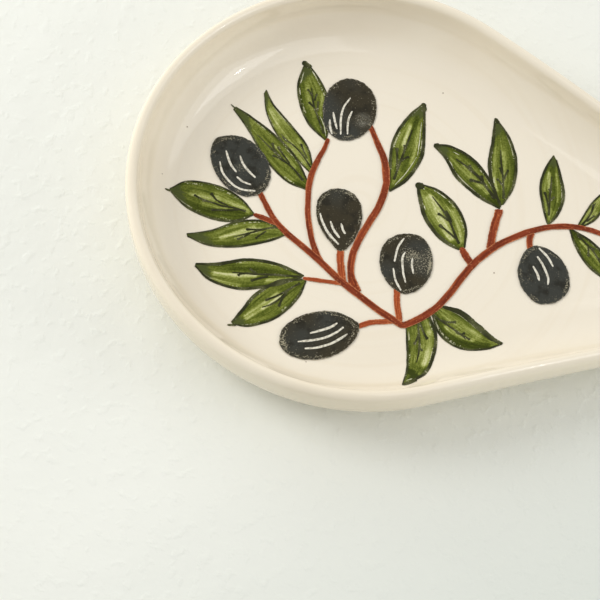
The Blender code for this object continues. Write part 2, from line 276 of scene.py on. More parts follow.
# rubbed: place on the floor, reach, and how much is a grey smear there and not dry specks
oliveLook = {
    "warm": tint(58, 53, 40), "cool": tint(60, 61, 56), "hueScale": 42.0, "hueBand": (0.42, 0.58),
    "deep": tint(38, 36, 29), "dabScale": 300.0, "dabBand": (0.46, 0.7), "dabShare": 0.75,
    "bare": tint(176, 168, 142), "fineScale": 2900.0, "skipBand": (0.64, 0.82), "skipShare": 0.75,
    "ringAt": 0.89, "ringReach": 0.1, "ringBand": (0.42, 0.58), "ringSkip": 0.2,
    "patchScale": 130.0, "dryBand": (0.56, 0.74), "drySkip": 0.12, "frayBand": (0.92, 1.0), "fraySkip": 0.16,
    "rubbed": [(-0.0288, 0.0252, 0.0032, 0.7), (-0.0062, -0.0137, 0.006, 0.1)],
    "rubbedCore": 0.2, "rubbedSum": 1.3,
    "smear": tint(128, 126, 114), "smearGrain": (0.4, 0.6), "smearBand": (0.36, 0.62),
    "brushHeight": 0.02 * mm, "roughness": 0.1, "roughGrain": 0.08, "shine": 0.06,
}


def oliveBlack(look):
    finish = newFinish("oliveBlack")
    place = finish.place()
    along, side = brushCoordinates(finish)
    edge = finish.node("ShaderNodeMath", {"operation": "MAXIMUM"}, {0: abs(side), 1: abs(along * 2.0 - 1.0)})
    fine = finish.grain(place, look["fineScale"])
    patch = finish.grain(place, look["patchScale"])
    dab = finish.grain(place, look["dabScale"])
    hue = finish.grain(place, look["hueScale"])
    ring = 1.0 - finish.band(abs(edge - look["ringAt"]), 0.0, look["ringReach"])
    ring = ring * finish.band(dab, *look["ringBand"])
    dry = finish.band(patch, *look["dryBand"])
    smear = 0.0
    for x, y, reach, wiped in look["rubbed"]:
        away = finish.away(place, (x, y, dish["floorHeight"]))
        worn = 1.0 - finish.band(away, reach * look["rubbedCore"], reach)
        smear = smear + worn * wiped
        dry = dry + worn * (look["rubbedSum"] - wiped)
    fray = finish.band(edge, *look["frayBand"]) * look["fraySkip"]
    skip = finish.band(fine + ring * look["ringSkip"] + dry * look["drySkip"] + fray, *look["skipBand"])
    colour = finish.mix(finish.band(hue, *look["hueBand"]), look["warm"], look["cool"])
    colour = finish.mix(finish.band(dab, *look["dabBand"]) * look["dabShare"], colour, look["deep"])
    fineSmear, dabSmear = look["smearGrain"]
    smear = smear * finish.band(fine * fineSmear + dab * dabSmear, *look["smearBand"])
    colour = finish.mix(smear, colour, look["smear"])
    colour = finish.mix(skip * look["skipShare"], colour, look["bare"])
    return finish.glossy(look, colour, finish.bump(1.0 - skip, look["brushHeight"]), fine)


stemLook = {
    "dark": tint(106, 45, 27), "mid": tint(134, 60, 35),
    "streak": tint(180, 92, 50), "fringe": tint(208, 138, 92),
    "drift": (15.0, 21.0), "dragPitch": (26.0, 1.5), "dragBand": (0.36, 0.62),
    "combPitch": (22.0, 3.4), "combStart": 7.0, "combGrain": 0.2, "combBand": (0.54, 0.68), "combShare": 0.65,
    "fineScale": 2200.0, "fringeGrain": 0.6, "fringeDrag": 0.4,
    "fringeBand": (0.68, 1.02), "fringeShare": 0.65,
    "speckBand": (0.64, 0.72), "speckShare": 0.5,
    "brushHeight": 0.02 * mm, "roughness": 0.1, "roughGrain": 0.06, "shine": 0.06,
}
stalkLook = {
    **stemLook, "dark": tint(138, 62, 34), "mid": tint(164, 78, 43),
    "streak": tint(206, 116, 66), "fringe": tint(220, 154, 106),
}


def russetStem(name, look):
    finish = newFinish(name)
    place = finish.place()
    along, side = brushCoordinates(finish)
    x, y = finish.parts(place)[:2]
    driftX, driftY = look["drift"]
    dragLength, dragBreadth = look["dragPitch"]
    combLength, combBreadth = look["combPitch"]
    fine = finish.grain(place, look["fineScale"])
    drift = x * driftX + y * driftY
    drag = finish.grain(finish.joined(along * dragLength, side * dragBreadth, drift), 1.0, 3.0)
    comb = finish.grain(finish.joined(along * combLength + look["combStart"], side * combBreadth, drift), 1.0)
    colour = finish.mix(finish.band(drag, *look["dragBand"]), look["dark"], look["mid"])
    combed = finish.band(comb + (fine - 0.5) * look["combGrain"], *look["combBand"])
    colour = finish.mix(combed * look["combShare"], colour, look["streak"])
    worn = abs(side) + (fine - 0.5) * look["fringeGrain"] + (drag - 0.5) * look["fringeDrag"]
    colour = finish.mix(finish.band(worn, *look["fringeBand"]) * look["fringeShare"], colour, look["fringe"])
    colour = finish.mix(finish.band(fine, *look["speckBand"]) * look["speckShare"], colour, look["fringe"])
    return finish.glossy(look, colour, finish.bump(drag, look["brushHeight"]), fine)


whiteLook = {
    "pale": tint(226, 221, 203), "grey": tint(170, 164, 146), "fineScale": 1900.0, "greyBand": (0.42, 0.72),
    "roughness": 0.12, "roughGrain": 0.08,
}
gapLook = {**whiteLook, "pale": tint(212, 209, 178), "grey": tint(146, 152, 102)}


def scratchedWhite(name, look):
    finish = newFinish(name)
    fine = finish.grain(finish.place(), look["fineScale"])
    colour = finish.mix(finish.band(fine, *look["greyBand"]), look["pale"], look["grey"])
    return finish.surface(Base_Color=colour, Roughness=look["roughness"] + fine * look["roughGrain"])


clayLook = {
    "pale": tint(222, 196, 164), "deep": tint(204, 172, 138), "coarseScale": 180.0, "coarseBand": (0.3, 0.7),
    "grit": tint(150, 118, 90), "gritScale": 2400.0, "gritBand": (0.62, 0.72), "gritShare": 0.4,
    "grainHeight": 0.06 * mm, "coarseRelief": 0.5, "roughness": 0.78, "roughGrain": 0.15,
}


def bareClay(look):
    finish = newFinish("bareClay")
    place = finish.place()
    coarse = finish.grain(place, look["coarseScale"], 4.0)
    grit = finish.grain(place, look["gritScale"])
    colour = finish.mix(finish.band(coarse, *look["coarseBand"]), look["deep"], look["pale"])
    colour = finish.mix(finish.band(grit, *look["gritBand"]) * look["gritShare"], colour, look["grit"])
    relief = finish.bump(grit + coarse * look["coarseRelief"], look["grainHeight"])
    rough = look["roughness"] + grit * look["roughGrain"]
    return finish.surface(Base_Color=colour, Roughness=rough, Normal=relief)


# the table's colour, with painted shade: it turns darker and cooler towards the front right, as if the light
# fell off there
tableLook = {
    "pale": tint(237, 238, 229), "deep": tint(234, 235, 226), "broadScale": 9.0, "broadBand": (0.3, 0.7),
    "paintedShade": tint(222, 226, 217), "paintedShadeWay": (0.6, 0.8), "paintedShadeBand": (0.03, 0.12),
    "trowelScale": 60.0, "crumbScale": 300.0, "crumbBand": (0.5, 0.74), "crumbRelief": 0.18,
    "fineScale": 700.0, "fineRelief": 0.05, "reliefHeight": 1.0 * mm, "reliefStrength": 0.5,
    "roughness": 0.72, "roughGrain": 0.15,
}


def limewashTable(look):
    finish = newFinish("limewashTable")
    place = finish.place()
    x, y = finish.parts(place)[:2]
    broad = finish.grain(place, look["broadScale"], 3.0)
    trowel = finish.grain(place, look["trowelScale"], 4.0)
    crumb = finish.band(finish.grain(place, look["crumbScale"], 3.0), *look["crumbBand"])
    fine = finish.grain(place, look["fineScale"], 3.0)
    colour = finish.mix(finish.band(broad, *look["broadBand"]), look["deep"], look["pale"])
    # painted shade: darker and cooler towards the front right, standing in for the light falling off
    paintedShadeX, paintedShadeY = look["paintedShadeWay"]
    colour = finish.mix(finish.band(x * paintedShadeX - y * paintedShadeY, *look["paintedShadeBand"]), colour, look["paintedShade"])
    height = trowel + crumb * look["crumbRelief"] + fine * look["fineRelief"]
    relief = finish.bump(height, look["reliefHeight"], look["reliefStrength"])
    rough = look["roughness"] + fine * look["roughGrain"]
    return finish.surface(Base_Color=colour, Roughness=rough, Normal=relief)


# camera: it looks down on the bowl from in front, slightly rolled
shot = {
    "lookAt": (-34.85 * mm, -37.6 * mm, 19.0 * mm), "distance": 0.4,
    "lens": 96.0, "sensor": 36.0, "nearest": 0.01,
    "elevation": 64.8, "turn": 3.3, "roll": 8.7,
}


def aimCamera():
    rise = math.radians(shot["elevation"])
    turn = math.radians(shot["turn"])
    roll = math.radians(shot["roll"])
    right = Vector((math.cos(turn), math.sin(turn), 0.0))
    back = Vector((math.cos(rise) * math.sin(turn), -math.cos(rise) * math.cos(turn), math.sin(rise)))
    up = back.cross(right)
    sideways = right * math.cos(roll) + up * math.sin(roll)
    upward = up * math.cos(roll) - right * math.sin(roll)
    bpy.ops.object.camera_add()
    camera = bpy.context.active_object
    camera.data.sensor_width = shot["sensor"]
    camera.data.lens = shot["lens"]
    camera.data.clip_start = shot["nearest"]
    eye = Vector(shot["lookAt"]) + back * shot["distance"]
    turned = Matrix((sideways, upward, back)).transposed().to_4x4()
    camera.matrix_world = Matrix.Translation(eye) @ turned
    bpy.context.scene.camera = camera


aimCamera()


# the dish: two circles and the straight sides between them, swept with the wall's section
dish = {
    "bowlRadius": 60.0 * mm, "tipRadius": 20.0 * mm, "tipDistance": 91.0 * mm,
    "tipDip": 5.0 * mm, "dipStart": 30.0 * mm,
    "rimHeight": 19.0 * mm, "lip": 3.5 * mm, "floorHeight": 6.3 * mm, "wallRun": 12.5 * mm,
    "bellyHeight": 13.2 * mm, "bellyFoot": 1.8 * mm, "glazeEnd": 82.0,
    "footInset": 10.5 * mm, "footWidth": 3.5 * mm, "footRound": 0.4 * mm, "footNip": 0.12 * mm,
    "footStep": 1.2 * mm, "baseHollow": 1.6 * mm, "baseEdge": 0.3 * mm,
    "glaze": 0.4 * mm, "seat": 0.3 * mm, "floorInsets": (19.6, 18.4, 16.8),
    "bowlSteps": 52, "sideSteps": 6, "tipSteps": 16, "wallSteps": 7, "lipSteps": 6,
    "smoothLevels": 2, "glazeCrease": 60.0, "clayCrease": 50.0,
}

floorInset = dish["lip"] / 2 + dish["wallRun"]
lipMiddle = dish["rimHeight"] - dish["lip"] / 2
tipLean = math.asin((dish["bowlRadius"] - dish["tipRadius"]) / dish["tipDistance"])
bowlX = (dish["bowlRadius"] - dish["tipDistance"] - dish["tipRadius"]) / 2  # the bowl's middle


def ease(share):
    share = min(max(share, 0.0), 1.0)
    return share * share * (3.0 - 2.0 * share)


def pickOnly(piece):
    bpy.ops.object.select_all(action="DESELECT")
    piece.select_set(True)
    bpy.context.view_layer.objects.active = piece


def rimColumns():  # plan points on the lip's crest with their outward normals
    sideAngle = math.pi / 2 - tipLean
    tip = Vector((dish["tipDistance"], 0.0))
    columns = []

    def arc(centre, radius, start, end, steps):
        for step in range(steps + 1):
            angle = start + (end - start) * step / steps
            normal = Vector((math.cos(angle), math.sin(angle)))
            columns.append((centre + normal * radius, normal))

    def side(start, end, normal):
        for step in range(1, dish["sideSteps"]):
            columns.append((start.lerp(end, step / dish["sideSteps"]), normal))

    lower = Vector((math.cos(sideAngle), -math.sin(sideAngle)))
    upper = Vector((math.cos(sideAngle), math.sin(sideAngle)))
    arc(Vector((0.0, 0.0)), dish["bowlRadius"], sideAngle, 2 * math.pi - sideAngle, dish["bowlSteps"])
    side(lower * dish["bowlRadius"], tip + lower * dish["tipRadius"], lower)
    arc(tip, dish["tipRadius"], -sideAngle, sideAngle, dish["tipSteps"])
    side(tip + upper * dish["tipRadius"], upper * dish["bowlRadius"], upper)
    return columns


def sunk(height, along):  # the rim dips towards the narrow end
    reach = dish["tipDistance"] + dish["tipRadius"] - dish["dipStart"]
    dip = ease((along - dish["dipStart"]) / reach)
    wall = (height - dish["floorHeight"]) / (dish["rimHeight"] - dish["lip"] - dish["floorHeight"])
    return height - dish["tipDip"] * dip * ease(wall)


def wallSection():  # inset and height, from the floor's edge over the lip to the foot
    section = []
    for step in range(dish["wallSteps"] + 1):
        angle = math.pi / 2 * step / dish["wallSteps"]
        rise = (lipMiddle - dish["floorHeight"]) * (1.0 - math.cos(angle))
        section.append(Vector((floorInset - dish["wallRun"] * math.sin(angle), dish["floorHeight"] + rise)))
    for step in range(1, dish["lipSteps"] + 1):
        angle = math.pi * step / dish["lipSteps"]
        out = Vector((math.cos(angle), math.sin(angle)))
        section.append(out * (dish["lip"] / 2) + Vector((0.0, lipMiddle)))
    bellyRun = dish["footInset"] + dish["lip"] / 2
    for step in range(dish["wallSteps"] + 1):
        angle = math.radians(dish["glazeEnd"]) * step / dish["wallSteps"]
        fall = (dish["bellyHeight"] - dish["bellyFoot"]) * math.sin(angle)
        section.append(Vector((dish["footInset"] - bellyRun * math.cos(angle), dish["bellyHeight"] - fall)))
    return section


def deeper(section, depth):  # the section moved into the clay
    moved = []
    for index, point in enumerate(section):
        run = section[min(index + 1, len(section) - 1)] - section[max(index - 1, 0)]
        run = Vector((-1.0, 0.0)) if index == 0 else run.normalized()
        moved.append(point + Vector((-run.y, run.x)) * depth)
    return moved


def floorRings(height):  # rings on the flat floor, from its middle out
    return [Vector((inset * mm, height)) for inset in dish["floorInsets"]]


def setRing(piece, columns, spot):
    mesh = bmesh.from_edit_mesh(piece.data)
    columnOf = mesh.verts.layers.int["column"]
    for vert in mesh.verts:
        if vert.select:
            point, normal = columns[vert[columnOf]]
            flat = point - normal * spot.x
            vert.co = (flat.x + bowlX, flat.y, sunk(spot.y, flat.x))
    bmesh.update_edit_mesh(piece.data)


def sweepDish(name, rings, material):
    columns = rimColumns()
    bpy.ops.object.select_all(action="DESELECT")
    bpy.ops.mesh.primitive_circle_add(vertices=len(columns), radius=dish["bowlRadius"])
    piece = bpy.context.active_object
    piece.name = name
    bpy.ops.object.mode_set(mode="EDIT")
    mesh = bmesh.from_edit_mesh(piece.data)
    columnOf = mesh.verts.layers.int.new("column")
    for index, vert in enumerate(mesh.verts):
        vert[columnOf] = index
    setRing(piece, columns, rings[0])
    bpy.ops.mesh.edge_face_add()
    bpy.ops.mesh.select_all(action="DESELECT")
    bpy.ops.mesh.select_non_manifold(extend=False)
    for spot in rings[1:]:
        bpy.ops.mesh.extrude_edges_move()
        setRing(piece, columns, spot)
    bpy.ops.mesh.edge_face_add()
    bpy.ops.mesh.select_all(action="SELECT")
    bpy.ops.mesh.normals_make_consistent(inside=False)
    bpy.ops.object.mode_set(mode="OBJECT")
    piece.data.materials.append(material)
    return piece


def smoothOver(piece, crease):
    pickOnly(piece)
    soften = piece.modifiers.new("soften", "SUBSURF")
    soften.levels = dish["smoothLevels"]
    soften.render_levels = dish["smoothLevels"]
    bpy.ops.object.modifier_apply(modifier=soften.name)
    bpy.ops.object.shade_smooth_by_angle(angle=math.radians(crease))


def settle(piece, slot, *nodes):
    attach(piece, "root")
    if nodes:
        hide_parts(*nodes)


glazeFinish = ivoryGlaze(glazeLook)
leafFinish = leafGreen(leafLook)
inkFinish = inkLine(inkLook)
oliveFinish = oliveBlack(oliveLook)
stemFinish = russetStem("russetStem", stemLook)
stalkFinish = russetStem("thinRusset", stalkLook)
whiteFinish = scratchedWhite("scratchedWhite", whiteLook)
gapFinish = scratchedWhite("missedGlaze", gapLook)
clayFinish = bareClay(clayLook)
tableFinish = limewashTable(tableLook)
print("finishes mixed")

section = wallSection()
under = deeper(section, dish["glaze"])
glazeRings = floorRings(dish["floorHeight"]) + section
glazeRings += under[::-1] + floorRings(dish["floorHeight"] - dish["glaze"])[::-1]
glazeCoat = sweepDish("glazeCoat", glazeRings, glazeFinish)
smoothOver(glazeCoat, dish["glazeCrease"])
settle(glazeCoat, "glaze", "glaze_coat")
print("glaze coat:", len(glazeCoat.data.polygons), "faces")

clayDepth = dish["glaze"] + dish["seat"]
footOut = dish["footInset"]
footIn = dish["footInset"] + dish["footWidth"]


def footEdge(inset, sense):  # one rounded lower edge of the foot ring, from its side to its flat
    step = dish["footStep"]
    bend = dish["footRound"]
    nip = dish["footNip"]
    spots = ((0.0, step), (0.0, bend), (nip, nip), (bend, 0.0), (step, 0.0))
    return [Vector((inset + sense * run, height)) for run, height in spots]


clayRings = floorRings(dish["floorHeight"] - clayDepth) + deeper(section, clayDepth)
clayRings += [Vector((footOut, dish["bellyFoot"] + clayDepth))]
clayRings += footEdge(footOut, 1) + footEdge(footIn, -1)[::-1]
clayRings += [Vector((footIn, dish["baseHollow"])), Vector((footIn + dish["footRound"], dish["baseHollow"]))]
clayRings += floorRings(dish["baseHollow"])[::-1]
clayBody = sweepDish("clayBody", clayRings, clayFinish)
smoothOver(clayBody, dish["clayCrease"])
settle(clayBody, "clay", "clay_body")

baseTop = dish["baseHollow"] - dish["seat"]
baseUnder = baseTop - dish["glaze"]
baseInset = footIn + dish["seat"]
baseEdge = dish["baseEdge"]
baseSpots = (
    (baseEdge, baseTop), (0.0, baseTop), (0.0, baseTop - baseEdge),
    (baseEdge / 2, baseUnder), (baseEdge * 2, baseUnder),
)
baseRings = floorRings(baseTop) + [Vector((baseInset + run, height)) for run, height in baseSpots]
baseRings += floorRings(baseUnder)[::-1]
baseGlaze = sweepDish("baseGlaze", baseRings, glazeFinish)
smoothOver(baseGlaze, dish["clayCrease"])
settle(baseGlaze, "glaze", "base_glaze")
print("clay body and base glaze done")


# painted marks: flat blanks, copied, shaped in plan and laid on the glaze
blankLook = {
    "leafSteps": (56, 20), "stripSteps": (72, 4), "ovalSteps": (32, 32),
    "paint": 0.03 * mm, "merge": 0.004 * mm, "crease": 40.0, "dropHeight": 30.0 * mm,
}


def makeBlank(name, steps):
    bpy.ops.object.select_all(action="DESELECT")
    bpy.ops.mesh.primitive_grid_add(x_subdivisions=steps[0], y_subdivisions=steps[1], size=2.0)
    blank = bpy.context.active_object
    blank.name = name
    return blank


def copyBlank(blank, name):
    pickOnly(blank)
    bpy.ops.object.duplicate()
    piece = bpy.context.active_object
    piece.name = name
    return piece


def landing(plan, lift):  # the spot on the glaze under a plan point, in millimetres from the bowl's middle
    start = Vector((plan.x * mm + bowlX, plan.y * mm, blankLook["dropHeight"]))
    hit, spot, normal, face = glazeCoat.ray_cast(start, Vector((0.0, 0.0, -1.0)))
    return spot + normal * lift


def dryPaint(piece, material):  # closes the ends and gives the flat mark its thickness
    pickOnly(piece)
    bpy.ops.object.mode_set(mode="EDIT")
    bpy.ops.mesh.select_all(action="SELECT")
    bpy.ops.mesh.remove_doubles(threshold=blankLook["merge"])
    bpy.ops.object.mode_set(mode="OBJECT")
    coat = piece.modifiers.new("paint", "SOLIDIFY")
    coat.thickness = blankLook["paint"]
    coat.offset = 1.0
    bpy.ops.object.modifier_apply(modifier=coat.name)
    bpy.ops.object.shade_smooth_by_angle(angle=math.radians(blankLook["crease"]))
    piece.data.materials.clear()
    piece.data.materials.append(material)


def joinStrokes(strokes, name):
    pickOnly(strokes[0])
    for stroke in strokes:
        stroke.select_set(True)
    if len(strokes) > 1:
        bpy.ops.object.join()
    joined = bpy.context.active_object
    joined.name = name
    return joined


def leftOf(way):
    return Vector((-way.y, way.x))


class Path:  # a smooth line through plan points
    def __init__(self, points, closed=False):
        self.points = [Vector(point) for point in points]
        self.closed = closed
        self.spans = len(points) if closed else len(points) - 1

    def knot(self, index):
        last = len(self.points) - 1
        if self.closed:
            return self.points[index % len(self.points)]
        if index < 0:
            return self.points[0] * 2 - self.points[1]
        return self.points[index] if index <= last else self.points[last] * 2 - self.points[last - 1]

    def at(self, share):
        spot = min(max(share, 0.0), 1.0) * self.spans
        span = min(int(spot), self.spans - 1)
        step = spot - span
        before, start, end, after = (self.knot(span + offset) for offset in (-1, 0, 1, 2))
        bend = before - start * 2.5 + end * 2 - after * 0.5
        twist = (after - before) * 0.5 + (start - end) * 1.5
        return start + (end - before) * (0.5 * step) + bend * step**2 + twist * step**3

    def way(self, share):
        step = strokeLook["wayStep"]
        return (self.at(min(share + step, 1.0)) - self.at(max(share - step, 0.0))).normalized()

    def length(self):
        return sum((self.knot(index + 1) - self.knot(index)).length for index in range(self.spans))


# brush strokes: how the steps crowd to the ends, where the swell ends, how the edges wander
strokeLook = {
    "crowding": 0.8, "startReach": 0.2, "endReach": 0.3, "capLeast": 0.02, "wayStep": 0.004,
    "wander": 0.4, "jitter": 1.7, "jitterShare": 0.7, "seedStep": 3.7, "uvLength": 100.0,
}


def wobble(plan, scale, seed):
    return noise.noise(Vector((plan.x * scale, plan.y * scale, seed * strokeLook["seedStep"])))


def brushStroke(name, points, width, lift, startTaper, endTaper, seed, rough):
    path = Path(points)
    reach = path.length()
    piece = copyBlank(stripBlank, name)
    for vert in piece.data.vertices:
        share = (vert.co.x + 1.0) / 2.0
        share -= strokeLook["crowding"] * math.sin(2 * math.pi * share) / (2 * math.pi)
        side = vert.co.y
        spot = path.at(share)
        swell = startTaper + (1.0 - startTaper) * ease(share / strokeLook["startReach"])
        swell *= endTaper + (1.0 - endTaper) * ease((1.0 - share) / strokeLook["endReach"])
        close = min(min(share, 1.0 - share) * reach / (width / 2), 1.0)
        cap = math.sqrt(max(1.0 - (1.0 - close) ** 2, strokeLook["capLeast"]))
        edge = seed * 2 + (1 if side > 0 else 0)
        jitter = strokeLook["jitterShare"] * wobble(spot, strokeLook["jitter"], edge)
        ragged = 1.0 + rough * (wobble(spot, strokeLook["wander"], edge) + jitter)
        vert.co = landing(spot + leftOf(path.way(share)) * (width / 2 * swell * cap * ragged * side), lift)
    for corner in piece.data.uv_layers.active.data:
        corner.uv.x *= reach / strokeLook["uvLength"]  # the finishes read the length drawn
    return piece


stripBlank = makeBlank("stripBlank", blankLook["stripSteps"])
leafBlank = makeBlank("leafBlank", blankLook["leafSteps"])
ovalBlank = makeBlank("ovalBlank", blankLook["ovalSteps"])


# stems and stalks: width and points in millimetres from the bowl's middle, how both ends swell or thin
stemPaint = {
    "lift": 0.17 * mm, "layer": 0.003 * mm, "rough": 0.16,
    "strokes": {
        "main_stem": {"width": 1.9, "ends": (0.8, 0.8), "points": [
            (67.3, 5.1), (60.5, 6), (53.5, 5), (46.5, 1.9), (39.5, -3.3), (36, -7.1), (32.2, -12.5),
            (28.6, -19.9), (27, -23.2), (25.3, -26), (23.3, -28.3), (20.7, -30.7),
            (18.9, -32.1), (17.4, -32.9), (15.8, -32.3), (10, -29.7), (5.5, -27.3), (-1.3, -23.4),
            (-5.8, -20.2), (-12.9, -15.8), (-17.1, -13.3), (-21.5, -9.5), (-25.4, -4.4), (-26.7, -2.3),
        ]},
        "left_branch": {"width": 1.6, "ends": (0.95, 0.7), "points": [
            (-4.7, -21.3), (-7, -19), (-9, -15.9), (-10.7, -12.2), (-12.5, -6.5), (-13.6, -0.5),
            (-13.9, 5.1), (-13.1, 10.1), (-12.1, 13.9), (-11.5, 17.5),
        ]},
        "middle_branch": {"width": 1.95, "ends": (1.45, 0.7), "points": [
            (4.3, -26.4), (3.2, -24.4), (1.9, -21.6), (1.3, -16.6), (2, -11.6), (3.5, -6.4), (5.4, -0.4),
            (6.3, 5.4), (5.8, 10), (4.4, 14.5), (2, 18.7), (-0.7, 23.3), (-2.5, 25.1),
        ]},
        "leaf_stalk_1": {"width": 1.5, "ends": (1, 0.75), "points": [
            (-19.2, -11.3), (-22.8, -10.6), (-26.6, -9.9),
        ]},
        "leaf_stalk_2": {"width": 1.15, "ends": (1, 0.8), "thin": True, "points": [
            (1, -24.6), (-4.8, -25), (-10.2, -25.4),
        ]},
        "leaf_stalk_3": {"width": 2, "ends": (1.2, 0.9), "points": [
            (33.5, -12.2), (32, -10.9), (30.5, -9.3), (29, -7.1),
        ]},
        "leaf_stalk_4": {"width": 2.1, "ends": (1.1, 1), "points": [
            (36.6, -6.4), (36.6, -1), (37.2, 5.2), (37.1, 6.5),
        ]},
        "olive_stalk_1": {"width": 2, "ends": (1.2, 0.8), "thin": True, "points": [
            (0.5, -25.2), (-0.7, -21.3), (-1.7, -17.3), (-2.2, -13.8),
        ]},
        "olive_stalk_2": {"width": 1.75, "ends": (1.1, 0.9), "thin": True, "points": [
            (16.7, -32.3), (15.9, -29.6), (15, -26.6), (14.3, -22.3),
        ]},
        "olive_stalk_3": {"width": 1.45, "ends": (1.1, 0.9), "thin": True, "points": [
            (17, -31.6), (13, -32.8), (9.2, -34), (6.2, -35.8), (4.9, -36.4),
        ]},
        "olive_stalk_4": {"width": 1.7, "ends": (1.1, 0.8), "points": [
            (46.9, 1.9), (46.5, -0.6), (47, -3), (48.4, -5.4),
        ]},
    },
}

for order, (node, look) in enumerate(stemPaint["strokes"].items()):
    lift = stemPaint["lift"] + stemPaint["layer"] * (len(stemPaint["strokes"]) - order)
    stroke = brushStroke(
        "painted_" + node, look["points"], look["width"], lift, *look["ends"], order, stemPaint["rough"],
    )
    dryPaint(stroke, stalkFinish if "thin" in look else stemFinish)
    settle(stroke, "stem", node)
print("stems painted:", len(stemPaint["strokes"]))


